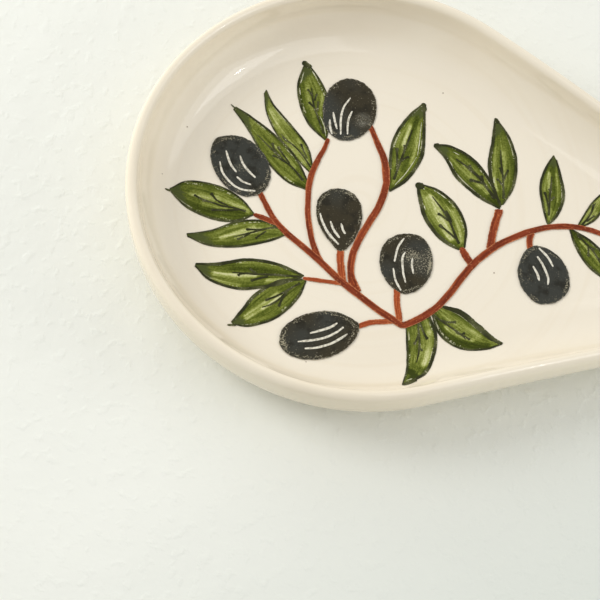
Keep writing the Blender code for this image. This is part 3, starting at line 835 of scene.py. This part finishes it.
# leaves: both edges and the spine from base to tip, and the forks, all in millimetres from the bowl's middle
# widths: left line, right line and veins; tip: a dab and its width; dip: the share where the dark tip begins
# washes: start, end, side at both, width and strength of a lighter or darker stroke, in shares of the leaf
# gaps: start, end and side at both of a bare fleck; like: the leaf whose tone, dip and washes it takes
leafPaint = {
    "lift": 0.02 * mm, "layer": 0.002 * mm, "gapLift": 0.065 * mm, "lineLift": 0.08 * mm,
    "veinLift": 0.11 * mm, "inkStep": 0.004 * mm, "washEdge": (0.25, 0.5),
    "spineSwell": 1.05, "gapWidth": 0.24,
    "ends": {
        "line": (0.6, 0.6), "spine": (1.3, 0.45), "tip": (1, 0.7), "fork": (0.7, 1.6), "gap": (0.4, 0.4),
    },
    "rough": (0.22, 0.25, 0.9), "seedSteps": (0, 30, 60, 90), "forkSeed": 7, "gapSeed": 5,
    "leaves": {
        "leaf_01": {
            "left": [(-12.2, 16.8), (-17.4, 20.7), (-20.9, 26), (-22.9, 32.6), (-22.4, 40)],
            "right": [(-12, 17), (-12.5, 25), (-14.9, 31.7), (-18.5, 36.7), (-21.9, 40.1)],
            "spine": [(-13, 18.7), (-14.6, 21.6), (-16, 24.2), (-17.6, 27.4), (-19.1, 32.4)],
            "forks": [
                [(-16.5, 25.7), (-17.7, 26.7), (-19, 27.7)], [(-18.3, 29.6), (-19.2, 30.8), (-20.1, 31.6)],
                [(-17.5, 28.4), (-17.4, 29.8), (-17.3, 30.8)],
                [(-16.1, 25.2), (-16.3, 27.1), (-16.4, 28.5)],
            ],
            "widths": (0.6, 0.5, 0.5), "tip": ([(-23.1, 40.3), (-21.8, 39.4), (-20.3, 39.1)], 1.6),
            "dip": 0.8, "tone": -0.06,
            "washes": [
                (0.15, 0.65, 0.6, 0.3, 1.6, 0.1), (0.3, 0.5, -0.2, -0.7, 1, 0.28),
                (0.65, 0.75, 0.1, -0.2, 1.3, 0.12),
            ],
            "gaps": [
                (0.75, 0.88, 0.75, 0.45), (0.68, 0.84, -0.85, -0.85), (0.04, 0.29, -0.45, -0.1),
                (0.62, 0.7, 0.85, 0.85),
            ],
        },
        "leaf_02": {
            "left": [(-14.4, 5.9), (-18.6, 9.3), (-24.7, 14.8), (-29.2, 21), (-31.5, 27.7)],
            "right": [(-13.9, 7.6), (-16.8, 13.9), (-22.9, 19.8), (-28.2, 24.5), (-31.2, 28.8)],
            "spine": [(-14.4, 7.5), (-17.2, 10.6), (-19.9, 12.9), (-22.4, 14.4), (-24.4, 16)],
            "forks": [
                [(-15.9, 10), (-17.2, 11.9), (-18.5, 14.2)], [(-21.4, 13.8), (-22.9, 14.3), (-23.8, 15.2)],
            ],
            "widths": (0.4, 0.55, 0.4), "dip": 0.86, "tone": 0.1,
            "washes": [
                (0.15, 0.6, 0.5, 0.55, 1.8, 0.16), (0.1, 0.35, -0.2, -0.55, 0.9, 0.26),
                (0.6, 0.75, 0, 0, 1.3, 0.12),
            ],
        },
        "leaf_03": {
            "left": [(-14.2, 0.6), (-20.5, 2.3), (-27.4, 7.9), (-33.1, 15.1), (-38.6, 20.7)],
            "right": [(-14.2, 2.8), (-19.6, 10.2), (-26.3, 15.4), (-33.7, 19.5), (-38.2, 21.5)],
            "spine": [(-15.7, 3.1), (-18.8, 6), (-22.2, 8.2), (-26.1, 10.9), (-30.7, 14.3)],
            "forks": [
                [(-20.7, 7.3), (-23.1, 8.3), (-25.3, 8.9)], [(-22.9, 8.8), (-25.1, 10.7), (-26.1, 12.7)],
                [(-20.2, 7.4), (-22.6, 9.8), (-24.5, 11.8)],
            ],
            "widths": (0.55, 0.6, 0.5), "tip": ([(-37.6, 20.7), (-39.6, 22)], 0.4), "dip": 0.75, "tone": 0.03,
            "washes": [
                (0.2, 0.45, -0.4, -0.35, 0.9, 0.42), (0.2, 0.7, 0.8, 0.9, 1.6, 0.14),
                (0, 0.12, 1, 0.8, 2, -0.2), (0.35, 0.65, -0.1, -0.35, 0.8, -0.12),
            ],
        },
        "leaf_04": {
            "left": [(-26.4, -9.9), (-30.7, -12.8), (-36.7, -13.6), (-44.1, -11.8), (-49.5, -8.4)],
            "right": [(-26.5, -9.6), (-31.1, -5.9), (-37.5, -3.7), (-45.6, -4.1), (-49.8, -7.9)],
            "spine": [(-28.7, -9.5), (-31.7, -9.2), (-35.2, -9.3), (-38, -8.9), (-40.7, -9.1)],
            "forks": [
                [(-33.7, -8.9), (-36.6, -8.1), (-37.8, -7.3), (-38.9, -6.2)],
                [(-38.3, -8.8), (-40.8, -8.5), (-43.2, -7.8)],
                [(-30.1, -9.3), (-33.9, -10.3), (-37.8, -11.2)],
            ],
            "widths": (0.7, 0.5, 0.5), "tip": ([(-49, -8.4), (-50.9, -8.4)], 0.55), "dip": 0.8,
            "washes": [
                (0.5, 0.7, -0.25, -0.15, 1.8, 0.3), (0.4, 0.6, 0.2, 0.25, 1.3, 0.28),
                (0.1, 0.5, -0.1, -0.5, 1.6, 0.3), (0.1, 0.75, 0.65, 0.6, 1.8, -0.14),
                (0.15, 0.55, 0.1, 0.5, 1, -0.2),
            ],
        },
        "leaf_05": {
            "left": [(-16.7, -13.7), (-21.7, -17), (-28.6, -20.1), (-35.8, -21.4), (-42.2, -20.2)],
            "right": [(-17.1, -13.3), (-23.4, -11.3), (-30.4, -13.1), (-36.2, -17), (-42.5, -19.6)],
            "spine": [(-19.2, -12), (-22, -13.1), (-24.4, -14.4), (-27.3, -16), (-30.4, -17.7)],
            "forks": [
                [(-23, -13.6), (-25, -14.2), (-27.6, -14.7)],
                [(-26.1, -15.4), (-27.4, -16.7), (-29.3, -18.2)],
                [(-22.3, -14), (-23.6, -15.5), (-24.6, -16.8)],
            ],
            "widths": (0.65, 0.5, 0.45), "dip": 0.77, "tone": 0.06,
            "washes": [
                (0.35, 0.65, -0.4, 0.1, 1.2, 0.4), (0.3, 0.5, -0.2, 0.25, 1.2, 0.34),
                (0.15, 0.75, 0.3, 0.75, 1.3, -0.1), (0.4, 0.75, -0.85, -0.45, 1, 0.12),
            ],
        },
        "leaf_06": {
            "left": [(-10.9, -25.6), (-17.6, -29.2), (-25.7, -32), (-33.6, -31.2), (-38.3, -28.2)],
            "right": [(-10, -24.7), (-17.6, -22.9), (-25.5, -23.4), (-32.3, -26.2), (-38.3, -27.6)],
            "spine": [
                (-10.5, -25.1), (-13.6, -25.5), (-17.2, -26), (-21.3, -26.8), (-24.9, -27.3),
                (-28.5, -27.9),
            ],
            "forks": [
                [(-22.1, -26.8), (-23.2, -26.3), (-24.2, -25.8)],
                [(-24.9, -27.3), (-26.3, -27.8), (-26.8, -28.5)],
                [(-19.1, -26.9), (-21.3, -28), (-23.3, -29.1)],
            ],
            "widths": (0.75, 0.9, 0.55), "dip": 0.8,
            "washes": [
                (0.4, 0.75, 0.1, 0.15, 1.3, 0.5), (0.5, 0.75, 0.8, 0.8, 0.9, 0.34),
                (0.1, 0.3, 0.5, 0.5, 1, 0.42), (0.2, 0.55, -0.85, -0.85, 0.7, 0.3),
                (0.15, 0.6, -0.2, -0.45, 1.8, -0.16),
            ],
        },
        "leaf_07": {
            "left": [(-9.2, -25.9), (-10.6, -31.7), (-14.8, -37.9), (-20.8, -41.7), (-25.2, -42.5)],
            "right": [(-10.1, -25.7), (-16.1, -27.7), (-21.1, -32.6), (-23.6, -37.7), (-25.6, -42.1)],
            "spine": [(-10.6, -26.9), (-12.8, -29.1), (-14.6, -32), (-16.5, -34.4), (-18.9, -35.9)],
            "forks": [
                [(-12.9, -29), (-15.3, -31.5), (-18.5, -33.8)],
                [(-13.4, -30.4), (-14.3, -32.5), (-14.7, -34.8)],
            ],
            "widths": (0.65, 0.9, 0.5), "tip": ([(-24.3, -42.5), (-26.5, -43.2)], 0.6), "dip": 0.8,
            "washes": [
                (0.35, 0.75, -0.2, -0.1, 1.6, 0.4), (0.35, 0.55, 0.05, 0.05, 1, 0.34),
                (0.3, 0.6, -0.9, -0.85, 0.8, 0.22), (0.5, 0.7, 0.8, 0.5, 0.8, 0.16),
            ],
        },
        "leaf_08": {
            "left": [(7.3, 5.7), (6.3, 13), (5.9, 21.4), (8.6, 29.2), (11.9, 34.5)],
            "right": [(7.5, 5.2), (11.5, 10.1), (14.2, 17.4), (13.7, 25.4), (12.6, 32.7)],
            "spine": [(8.1, 9), (8.7, 13.9), (9.3, 18.2), (9.9, 22.2), (10.3, 25.6)],
            "forks": [
                [(8.4, 12.2), (7.8, 15.9), (7.2, 19)], [(8.9, 14.9), (9.8, 16.2), (10.9, 17)],
                [(9.2, 17.2), (9.3, 18.9), (9.1, 20.4)],
            ],
            "widths": (0.75, 0.95, 0.55), "tip": ([(12, 34.8), (12.6, 31.8)], 1.4), "dip": 0.85,
            "washes": [
                (0.3, 0.85, -0.3, 0.2, 1.6, -0.2), (0.5, 0.7, 0.3, 0.4, 1, 0.46),
                (0.2, 0.7, 0.7, 0.8, 1.6, 0.16), (0.1, 0.35, 0, 0.15, 0.8, 0.2),
                (0.4, 0.75, -0.55, -0.4, 0.8, 0.22),
            ],
            "gaps": [
                (0.2, 0.31, 0.88, 0.92), (0.38, 0.46, 0.92, 0.92), (0.5, 0.83, -0.74, -0.52),
                (0.1, 0.48, -0.5, -0.72),
            ],
        },
        "leaf_09": {
            "left": [(28.6, -7.9), (23.1, -5.5), (18.3, -0.5), (15.9, 5), (14.6, 8.8)],
            "right": [(29.9, -7.1), (29.2, -0.7), (25.6, 5.1), (20.3, 8.5), (14.8, 9.3)],
            "spine": [(28.3, -6.2), (26.5, -3.2), (24.9, -0.2), (22.6, 2.7), (19, 6.4)],
            "forks": [
                [(27.6, -5.1), (24.9, -3.3), (22.2, -1.7)], [(24.5, 0), (22.8, 1), (21.3, 1.6)],
                [(25.4, -0.4), (24.4, 1.4), (23.2, 2.8)],
            ],
            "widths": (1.1, 0.75, 0.6), "tip": ([(14, 9), (15.3, 8.8), (16.5, 8.4)], 2),
            "dip": 0.92, "tone": 0.1,
            "washes": [
                (0.2, 0.7, 0.3, 0.1, 2.1, 0.44), (0.1, 0.5, -0.4, -0.75, 1.3, 0.28),
                (0.25, 0.75, 0.6, 0.6, 1.6, 0.14), (0.5, 0.85, -0.7, -0.2, 1.3, -0.22),
                (0, 0.1, 0.7, 0.65, 1.8, -0.2),
            ],
            "gaps": [(0.86, 0.91, -0.15, 0.1), (0.61, 0.78, -0.85, -0.75), (0.58, 0.64, 0.8, 0.8)],
        },
        "leaf_10": {
            "left": [(37.5, 6.8), (31.1, 9.4), (24.8, 13.6), (20.7, 19), (17.4, 21.6)],
            "right": [(37.6, 7.4), (34, 14.1), (28.4, 20), (21.9, 22.7), (17.1, 22.4)],
            "spine": [(35.8, 9.5), (33.2, 12.2), (30.9, 14.7), (27.2, 17.3), (23.5, 19.3)],
            "forks": [
                [(32.2, 13.4), (30.2, 13.6), (28.1, 13.7)], [(31.9, 13.6), (31.4, 14.9), (31.1, 15.8)],
                [(28.4, 16.5), (27.8, 17.5), (27.4, 18.3)],
            ],
            "widths": (0.9, 0.8, 0.75), "tip": ([(16.9, 22.1), (18.9, 22.1)], 2), "dip": 0.77, "tone": -0.13,
            "washes": [
                (0.3, 0.7, 0.25, 0.3, 0.9, 0.26), (0.2, 0.55, 0.05, 0, 0.8, 0.3),
                (0.3, 0.65, -0.75, -0.4, 1.3, 0.14), (0, 0.15, 0.2, 0.1, 1.8, -0.2),
            ],
            "gaps": [(0.64, 0.71, -0.55, -0.45), (0.62, 0.7, 0.75, 0.8)],
        },
        "leaf_11": {
            "left": [(37.6, 7.8), (34.7, 13), (32.7, 19.9), (32.6, 27.6), (32.2, 34.1)],
            "right": [(38.1, 8.2), (40.1, 14.9), (39.7, 22.5), (36.8, 29.3), (32.6, 34.3)],
            "spine": [(38, 10), (37.4, 14), (36.6, 17.9), (35.7, 21.5), (35.1, 24.9)],
            "forks": [
                [(37.5, 13.7), (36.3, 15), (35.3, 15.7)], [(36.7, 17.3), (36.1, 18.4), (35.6, 19.4)],
                [(37.2, 15.5), (37.6, 17.7), (38, 19.2)],
            ],
            "widths": (0.95, 0.7, 0.5), "tip": ([(33.4, 33.1), (32.1, 34.6)], 1.2),
            "dip": 0.82, "tone": -0.06,
            "washes": [
                (0.1, 0.65, 0.9, 0.5, 1.3, 0.16), (0.2, 0.4, 0.65, 0.85, 0.8, 0.32),
                (0.25, 0.6, 0, -0.1, 1.3, 0.2),
            ],
            "gaps": [(0.29, 0.36, 0.8, 0.75)],
        },
        "leaf_12": {
            "left": [(23.6, -28.1), (26.4, -33.7), (26.7, -39), (25.2, -45.6), (20.1, -50.6)],
            "right": [(18.5, -32.8), (19.6, -37.8), (20.3, -41.5), (20.7, -45.4), (20.1, -50.6)],
            "spine": [(21.2, -30.1), (21.8, -33.2), (22.6, -36.4), (22.9, -39.5), (22.8, -42.5)],
            "forks": [
                [(21.7, -30.9), (23, -33.2), (24.5, -35.3)], [(22.1, -34.3), (21.8, -36.1), (21.3, -37.5)],
                [(22.7, -37.8), (23.2, -38.3), (23.8, -38.8)],
            ],
            "widths": (0.85, 0.55, 0.5), "tip": ([(23.5, -48.1), (21.8, -49.4), (20.2, -50.5)], 1),
            "dip": 1.2, "tone": 0.04,
            "washes": [
                (0.2, 0.62, 0.6, 0.5, 1.8, 0.4), (0.05, 0.2, 0.6, 0.6, 1, 0.18),
                (0.35, 0.55, 0.1, -0.15, 1.3, 0.14),
                (0.66, 0.7, -0.6, 0.6, 2.2, -0.12), (0.77, 0.82, -0.7, 0.7, 3, -0.5),
            ],
            "gaps": [(0.86, 0.92, 0.4, -0.3)],
        },
        "leaf_13": {
            "left": [(26.7, -25.2), (32, -26), (36.7, -28.8), (40.5, -31.2), (43.6, -32.4)],
            "right": [(24.2, -27.4), (27.5, -33.3), (33.1, -35.9), (39.2, -35), (43.6, -32.5)],
            "spine": [(24.8, -28.1), (27.1, -29.3), (29.7, -30.5), (32.3, -31.8), (34.3, -33.1)],
            "forks": [
                [(27.1, -29.2), (29, -29.3), (31.1, -28.9)], [(31.2, -31.6), (32.6, -32), (33.8, -31.4)],
                [(32.8, -32.1), (34.2, -32.5), (35.3, -33)],
            ],
            "widths": (1.5, 0.6, 0.5), "tip": ([(42.3, -32.5), (43.8, -32.1)], 0.7),
            "dip": 1.2, "tone": -0.05,
            "washes": [
                (0.25, 0.55, -0.35, -0.1, 1.3, 0.42), (0.05, 0.6, 0.2, 0.4, 1.8, 0.22),
                (0.1, 0.75, -0.85, -0.4, 2, -0.28), (0.75, 0.9, 0.35, 0.5, 0.8, 0.15),
            ],
            "gaps": [(0.06, 0.21, -0.92, -0.92), (0.36, 0.43, -0.92, -0.92)],
        },
        "leaf_14": {
            "left": [(50.6, 5.2), (48.8, 10.3), (47.3, 16.3), (48.1, 22.3), (49.7, 26.6)],
            "right": [(50.8, 4.8), (53, 8.9), (53.9, 14.6), (52.3, 20.3), (50.5, 25.4)],
            "spine": [(50.7, 7.7), (50.4, 11.3), (50.2, 14.5), (50.1, 17.4), (49.9, 19.9)],
            "forks": [
                [(50.4, 10), (49.5, 12.6), (48.6, 14.7)], [(50.4, 12), (50.9, 13.1), (51.5, 13.8)],
                [(50.3, 13.7), (50.1, 15), (49.7, 16)],
            ],
            "widths": (0.7, 0.8, 0.5), "like": "leaf_08",
        },
        "leaf_15": {
            "left": [(58.7, 6.4), (59.9, 9.6), (61.9, 14.5), (64.7, 18.5), (68.2, 21.4)],
            "right": [(59.9, 6.4), (63.1, 9.5), (65.3, 14.5), (67, 18.7), (69, 21.4)],
            "spine": [(59.7, 6.7), (61, 9.1), (61.8, 11.2), (62.2, 13), (62.7, 14.6)],
            "forks": [[(60.9, 8.2), (61.8, 9.3), (62.9, 10.6)], [(62, 12.3), (62, 13.3), (62.3, 14)]],
            "widths": (0.5, 0.6, 0.45), "like": "leaf_02",
        },
        "leaf_16": {
            "left": [(67.4, 5.4), (73.2, 7.3), (79.9, 8.4), (86, 6.7), (89.3, 3.7)],
            "right": [(66.6, 4.8), (72.3, 2.4), (78.6, 1.7), (84.3, 3), (89.3, 3.3)],
            "spine": [(67, 5.1), (69.5, 4.9), (72.4, 4.9), (75.8, 4.9), (78.7, 4.8), (81.6, 4.8)],
            "forks": [
                [(76.4, 4.8), (77.2, 4.3), (77.9, 3.8)], [(78.7, 4.8), (79.8, 5), (80.3, 5.5)],
                [(74, 5.3), (75.9, 5.9), (77.7, 6.5)],
            ],
            "widths": (0.75, 0.85, 0.5), "like": "leaf_06",
        },
        "leaf_17": {
            "left": [(57.1, 5.1), (62.7, 2.6), (67.7, -1.5), (70.2, -6.5), (70.2, -10.3)],
            "right": [(56.7, 4.9), (59.1, 0), (62.8, -4.7), (67.3, -7.6), (69.6, -10.1)],
            "spine": [(58.9, 3.8), (61.2, 1.9), (63.3, 0.2), (65.6, -2.6), (67.4, -5.4)],
            "forks": [
                [(62.2, 1.1), (62.5, -0.4), (62.7, -2.1)], [(62.4, 0.9), (63.4, 0.6), (64.2, 0.4)],
                [(64.9, -1.7), (65.7, -2.1), (66.4, -2.4)],
            ],
            "widths": (0.75, 0.7, 0.5), "like": "leaf_10",
        },
    },
}


def washAt(look, share, side, halfWidth, length):  # how much lighter the paint is there
    core, fade = leafPaint["washEdge"]
    lighter = look.get("tone", 0.0)
    for start, end, startSide, endSide, width, strength in look["washes"]:
        nearest = min(max(share, start), end)
        middle = startSide + (endSide - startSide) * (nearest - start) / (end - start)
        away = math.hypot((share - nearest) * length, (side - middle) * halfWidth)
        lighter += strength * (1.0 - ease((away / width - core) / fade))
    return lighter


def paintLeaf(order, node, look):
    left = Path(look["left"])
    right = Path(look["right"])
    length = left.length()
    brushed = leafPaint["leaves"][look.get("like", node)]

    def spotOn(share, side):
        return right.at(share).lerp(left.at(share), (side + 1.0) / 2.0)

    fill = copyBlank(leafBlank, "paintedLeaf" + node[-2:])
    washed = []
    dipped = []
    for vert in fill.data.vertices:
        share = (vert.co.x + 1.0) / 2.0
        side = vert.co.y
        halfWidth = (left.at(share) - right.at(share)).length / 2.0
        washed.append(washAt(brushed, share, side, halfWidth, length))
        dipped.append(share - brushed["dip"])
        vert.co = landing(spotOn(share, side), leafPaint["lift"] + leafPaint["layer"] * order)
    for name, values in (("wash", washed), ("dipped", dipped)):
        fill.data.attributes.new(name, "FLOAT", "POINT").data.foreach_set("value", values)
    dryPaint(fill, leafFinish)
    settle(fill, "leaf", node)

    leftWidth, rightWidth, veinWidth = look["widths"]
    leftSeed, rightSeed, veinSeed, tipSeed = (order + step for step in leafPaint["seedSteps"])
    lift = leafPaint["lineLift"]
    veinLift = leafPaint["veinLift"]
    step = leafPaint["inkStep"]
    ends = leafPaint["ends"]
    lineRough, veinRough, gapRough = leafPaint["rough"]
    spineWidth = veinWidth * leafPaint["spineSwell"]
    lines = [
        brushStroke("line", look["left"], leftWidth, lift, *ends["line"], leftSeed, lineRough),
        brushStroke("line", look["right"], rightWidth, lift + step, *ends["line"], rightSeed, lineRough),
        brushStroke("vein", look["spine"], spineWidth, veinLift, *ends["spine"], veinSeed, veinRough),
    ]
    if "tip" in look:
        points, width = look["tip"]
        lines.append(brushStroke("tip", points, width, lift + step * 2, *ends["tip"], tipSeed, veinRough))
    for number, points in enumerate(look["forks"]):
        lift = veinLift + step * (number + 1)
        forkSeed = order + number * leafPaint["forkSeed"]
        lines.append(brushStroke("fork", points, veinWidth, lift, *ends["fork"], forkSeed, veinRough))
    inked = joinStrokes(lines, "leafLines" + node[-2:])
    dryPaint(inked, inkFinish)
    settle(inked, "olive")
    bare = []
    for number, (start, end, startSide, endSide) in enumerate(look.get("gaps", [])):
        middle = spotOn((start + end) / 2, (startSide + endSide) / 2)
        points = [spotOn(start, startSide), middle, spotOn(end, endSide)]
        gapSeed = order + number * leafPaint["gapSeed"]
        lift = leafPaint["gapLift"]
        bare.append(brushStroke("gap", points, leafPaint["gapWidth"], lift, *ends["gap"], gapSeed, gapRough))
    if bare:
        gaps = joinStrokes(bare, "leafGaps" + node[-2:])
        dryPaint(gaps, gapFinish)
        settle(gaps, "glaze")


for order, (node, look) in enumerate(leafPaint["leaves"].items()):
    paintLeaf(order, node, look)
print("leaves painted:", len(leafPaint["leaves"]))


# olives: the edge, clockwise from its far end, and the pale strokes
olivePaint = {
    "lift": 0.22 * mm, "strokeLift": 0.25 * mm, "strokeStep": 0.004 * mm, "ends": (0.6, 0.8), "rough": 0.25,
    "middleSteps": 24, "broadWobble": (0.02, 0.9), "closeWobble": (0.014, 2.6),
    "olives": {
        "olive_1": {
            "edge": [
                (-37.2, 12.4), (-32.6, 12.1), (-28.7, 9.7), (-25.8, 6.2), (-24.4, 1.9), (-25.5, -2.6),
                (-29.1, -5.1), (-33.6, -4.4), (-37.4, -1.8), (-40.2, 1.8), (-41.8, 6.1), (-41.1, 10.5),
            ],
            "strokes": [
                [(-37.8, 7.4), (-36.6, 5.1), (-35.4, 3.2), (-33.6, 1.5)],
                [(-33.8, 6.7), (-32.6, 4.6), (-30.7, 2.7), (-28.3, 1)],
                [(-33.3, 0.2), (-31.5, -0.9), (-29, -1.4)],
                [(-38.7, 3.7), (-37.3, 0.7), (-34.8, -1.7), (-31.6, -3.3), (-27.5, -3)],
            ],
            "width": 0.6,
        },
        "olive_2": {
            "edge": [
                (-9.3, 37.8), (-4.5, 36.8), (-1.3, 33), (-0.2, 28), (-1.1, 23.1), (-4.1, 19.2),
                (-8.8, 17.8), (-12.9, 20.5), (-14.6, 25.3), (-14.9, 30.2), (-13.3, 34.9),
            ],
            "strokes": [
                [(-12.3, 23.5), (-11.7, 21), (-10.8, 19)],
                [(-11.8, 26), (-10.9, 23.4), (-9.8, 20.9)],
                [(-8, 31.6), (-9.2, 28.4), (-9.4, 24.8), (-8.5, 19.4)],
                [(-6.8, 27.5), (-7.3, 24.3), (-6.7, 19.9)],
            ],
            "width": 0.56,
        },
        "olive_3": {
            "edge": [
                (-5.8, 2.9), (-2.4, 2.5), (0.3, 0.2), (1.5, -3), (1.8, -6.5), (1.3, -10), (0.1, -13.2),
                (-2.1, -15.5), (-5, -13.6), (-7.5, -11.1), (-9.5, -8.2), (-10.6, -4.9), (-10.6, -1.4),
                (-8.9, 1.5),
            ],
            "strokes": [
                [(-9.4, -5.6), (-8.2, -8.2), (-5.9, -11.2), (-2.8, -13.7)],
                [(-6.3, -7.3), (-5, -9.6), (-3, -11.7)],
                [(-3.4, -7.3), (-2.6, -9.1), (-1.7, -10.2)],
            ],
            "width": 0.6,
        },
        "olive_4": {
            "edge": [
                (14.8, -6.2), (18.3, -6.5), (20.8, -9), (22.2, -12.3), (22.5, -15.9), (21.5, -19.4),
                (19.4, -22.4), (16.4, -23.9), (13, -22.8), (10.4, -20.3), (8.8, -17.1), (8.3, -13.6),
                (9.1, -10.1), (11.5, -7.5),
            ],
            "strokes": [
                [(13.8, -7.8), (12.6, -11), (12.4, -15.3)],
                [(12.4, -17.2), (13.5, -20.4), (15.5, -23.2)],
                [(14.7, -11.8), (14.3, -14.2), (15.2, -17.9), (16.3, -20.7)],
                [(16.9, -13.2), (17.1, -15.4), (17.9, -17.7)],
            ],
            "width": 0.56,
        },
        "olive_5": {
            "edge": [
                (-1.8, -33.1), (2.7, -33.3), (6.6, -35.5), (6, -40), (3.5, -43.6), (-0.2, -46.3),
                (-4.5, -47.8), (-9, -47.8), (-12.4, -45.1), (-12.5, -40.7), (-9.7, -37), (-6.1, -34.6),
            ],
            "strokes": [
                [(1, -36), (-0.4, -37.4), (-2.5, -38.8), (-5.4, -40.4)],
                [(-8, -43.4), (-5, -42.4), (-1.6, -40.9), (0.9, -38.9), (2.8, -36.8)],
                [(4.1, -38.4), (2.5, -40.2), (0.2, -42.2), (-2.6, -43.8), (-5.9, -44.9)],
            ],
            "width": 0.6,
        },
        "olive_6": {
            "edge": [
                (54.5, -18.1), (51.2, -18.8), (48.3, -17.2), (46, -14.5), (44.8, -11.3), (44.8, -7.9),
                (45.8, -4.5), (48.2, -2.2), (51.6, -2.3), (54.7, -3.8), (57, -6.3), (58.4, -9.5),
                (58.7, -13), (57.2, -16),
            ],
            "strokes": [
                [(53.8, -7.3), (51.9, -4.7), (49.3, -2.6)],
                [(53.1, -12.9), (52.8, -10.6), (51, -7.4), (49.2, -5.2)],
                [(50.7, -12.2), (49.9, -10.3), (48.5, -8.3)],
            ],
            "width": 0.6,
        },
    },
}


def paintOlive(order, node, look):
    rim = Path(look["edge"], closed=True)
    count = olivePaint["middleSteps"]
    middle = sum((rim.at(step / count) for step in range(count)), Vector((0.0, 0.0))) / count
    broad, broadScale = olivePaint["broadWobble"]
    close, closeScale = olivePaint["closeWobble"]
    fill = copyBlank(ovalBlank, "paintedOlive" + node[-1])
    for vert in fill.data.vertices:  # the square blank becomes a disc, and the disc takes the olive's edge
        a, b = vert.co.x, vert.co.y
        reach = max(abs(a), abs(b))
        if reach == 0.0:
            turn = 0.0
        elif abs(a) >= abs(b):
            turn = b / a / 8 + (0.5 if a < 0.0 else 0.0)
        else:
            turn = 0.25 - a / b / 8 + (0.5 if b < 0.0 else 0.0)
        spot = middle.lerp(rim.at(1.0 - turn % 1.0), reach)
        wander = broad * wobble(spot, broadScale, order) + close * reach * wobble(spot, closeScale, order)
        spot += (spot - middle) * wander
        vert.co = landing(spot, olivePaint["lift"])
    dryPaint(fill, oliveFinish)
    settle(fill, "olive", node)
    pale = []
    ends = olivePaint["ends"]
    rough = olivePaint["rough"]
    for number, points in enumerate(look["strokes"]):
        lift = olivePaint["strokeLift"] + olivePaint["strokeStep"] * number
        pale.append(brushStroke("pale", points, look["width"], lift, *ends, order + number, rough))
    scratched = joinStrokes(pale, "oliveStrokes" + node[-1])
    dryPaint(scratched, whiteFinish)
    settle(scratched, "glaze")


for order, (node, look) in enumerate(olivePaint["olives"].items()):
    paintOlive(order, node, look)
for blank in (stripBlank, leafBlank, ovalBlank):
    bpy.data.objects.remove(blank, do_unlink=True)
print("olives painted:", len(olivePaint["olives"]))


# table, lamps and sky: a mirrored lamp only shines back from the glaze
stageLook = {
    "tableSize": 4.0, "tableCuts": 8, "skyLight": 0.63,
    "lamps": {
        "keyLamp": {"spot": (-0.71, 0.68, 0.28), "size": (0.8, 0.6), "power": 3.85, "mirrored": False},
        "sideLamp": {"spot": (-0.83, 0.12, 0.57), "size": (0.5, 0.5), "power": 4.4, "mirrored": False},
        "fillLamp": {"spot": (0.94, 0.0, 0.26), "size": (0.5, 0.5), "power": 3.4, "mirrored": False},
        "sheenLamp": {"spot": (0.32, 0.12, 0.72), "size": (0.56, 0.6), "power": 0.9, "mirrored": True},
        "sheenCore": {"spot": (0.3, 0.11, 0.7), "size": (0.28, 0.22), "power": 0.3, "mirrored": True},
        "glintLamp": {"spot": (0.289, 0.091, 0.682), "size": (0.024, 0.022), "power": 0.04, "mirrored": True},
    },
}


def addTable():
    bpy.ops.object.select_all(action="DESELECT")
    bpy.ops.mesh.primitive_plane_add(size=stageLook["tableSize"])
    table = bpy.context.active_object
    table.name = "table"
    bpy.ops.object.mode_set(mode="EDIT")
    bpy.ops.mesh.subdivide(number_cuts=stageLook["tableCuts"])
    bpy.ops.object.mode_set(mode="OBJECT")
    table.data.materials.append(tableFinish)


def addLamp(name, look):
    bpy.ops.object.light_add(type="AREA", location=look["spot"])
    lamp = bpy.context.active_object
    lamp.name = name
    aim = Vector((bowlX, 0.0, 0.0)) - Vector(look["spot"])
    lamp.rotation_euler = aim.to_track_quat("-Z", "Y").to_euler()
    lamp.data.shape = "ELLIPSE" if look["size"][0] == look["size"][1] else "RECTANGLE"
    lamp.data.size, lamp.data.size_y = look["size"]
    lamp.data.energy = look["power"]
    lamp.visible_glossy = look["mirrored"]
    lamp.visible_diffuse = not look["mirrored"]


def addSky():
    world = bpy.data.worlds.new("studio")
    bpy.context.scene.world = world
    sky = Finish(world)
    seen = 0.0
    for ray in ("Is Camera Ray", "Is Glossy Ray", "Is Transmission Ray"):
        seen = seen + sky.node("ShaderNodeLightPath", {}, {}, ray)
    backdrop = sky.tree.nodes["Background"]
    backdrop.inputs["Color"].default_value = (1.0, 1.0, 1.0, 1.0)
    sky.plug(backdrop.inputs["Strength"], seen * (1.0 - stageLook["skyLight"]) + stageLook["skyLight"])


addTable()
for name, look in stageLook["lamps"].items():
    addLamp(name, look)
addSky()
bpy.context.scene.view_settings.view_transform = "Standard"
print("table and lamps set")
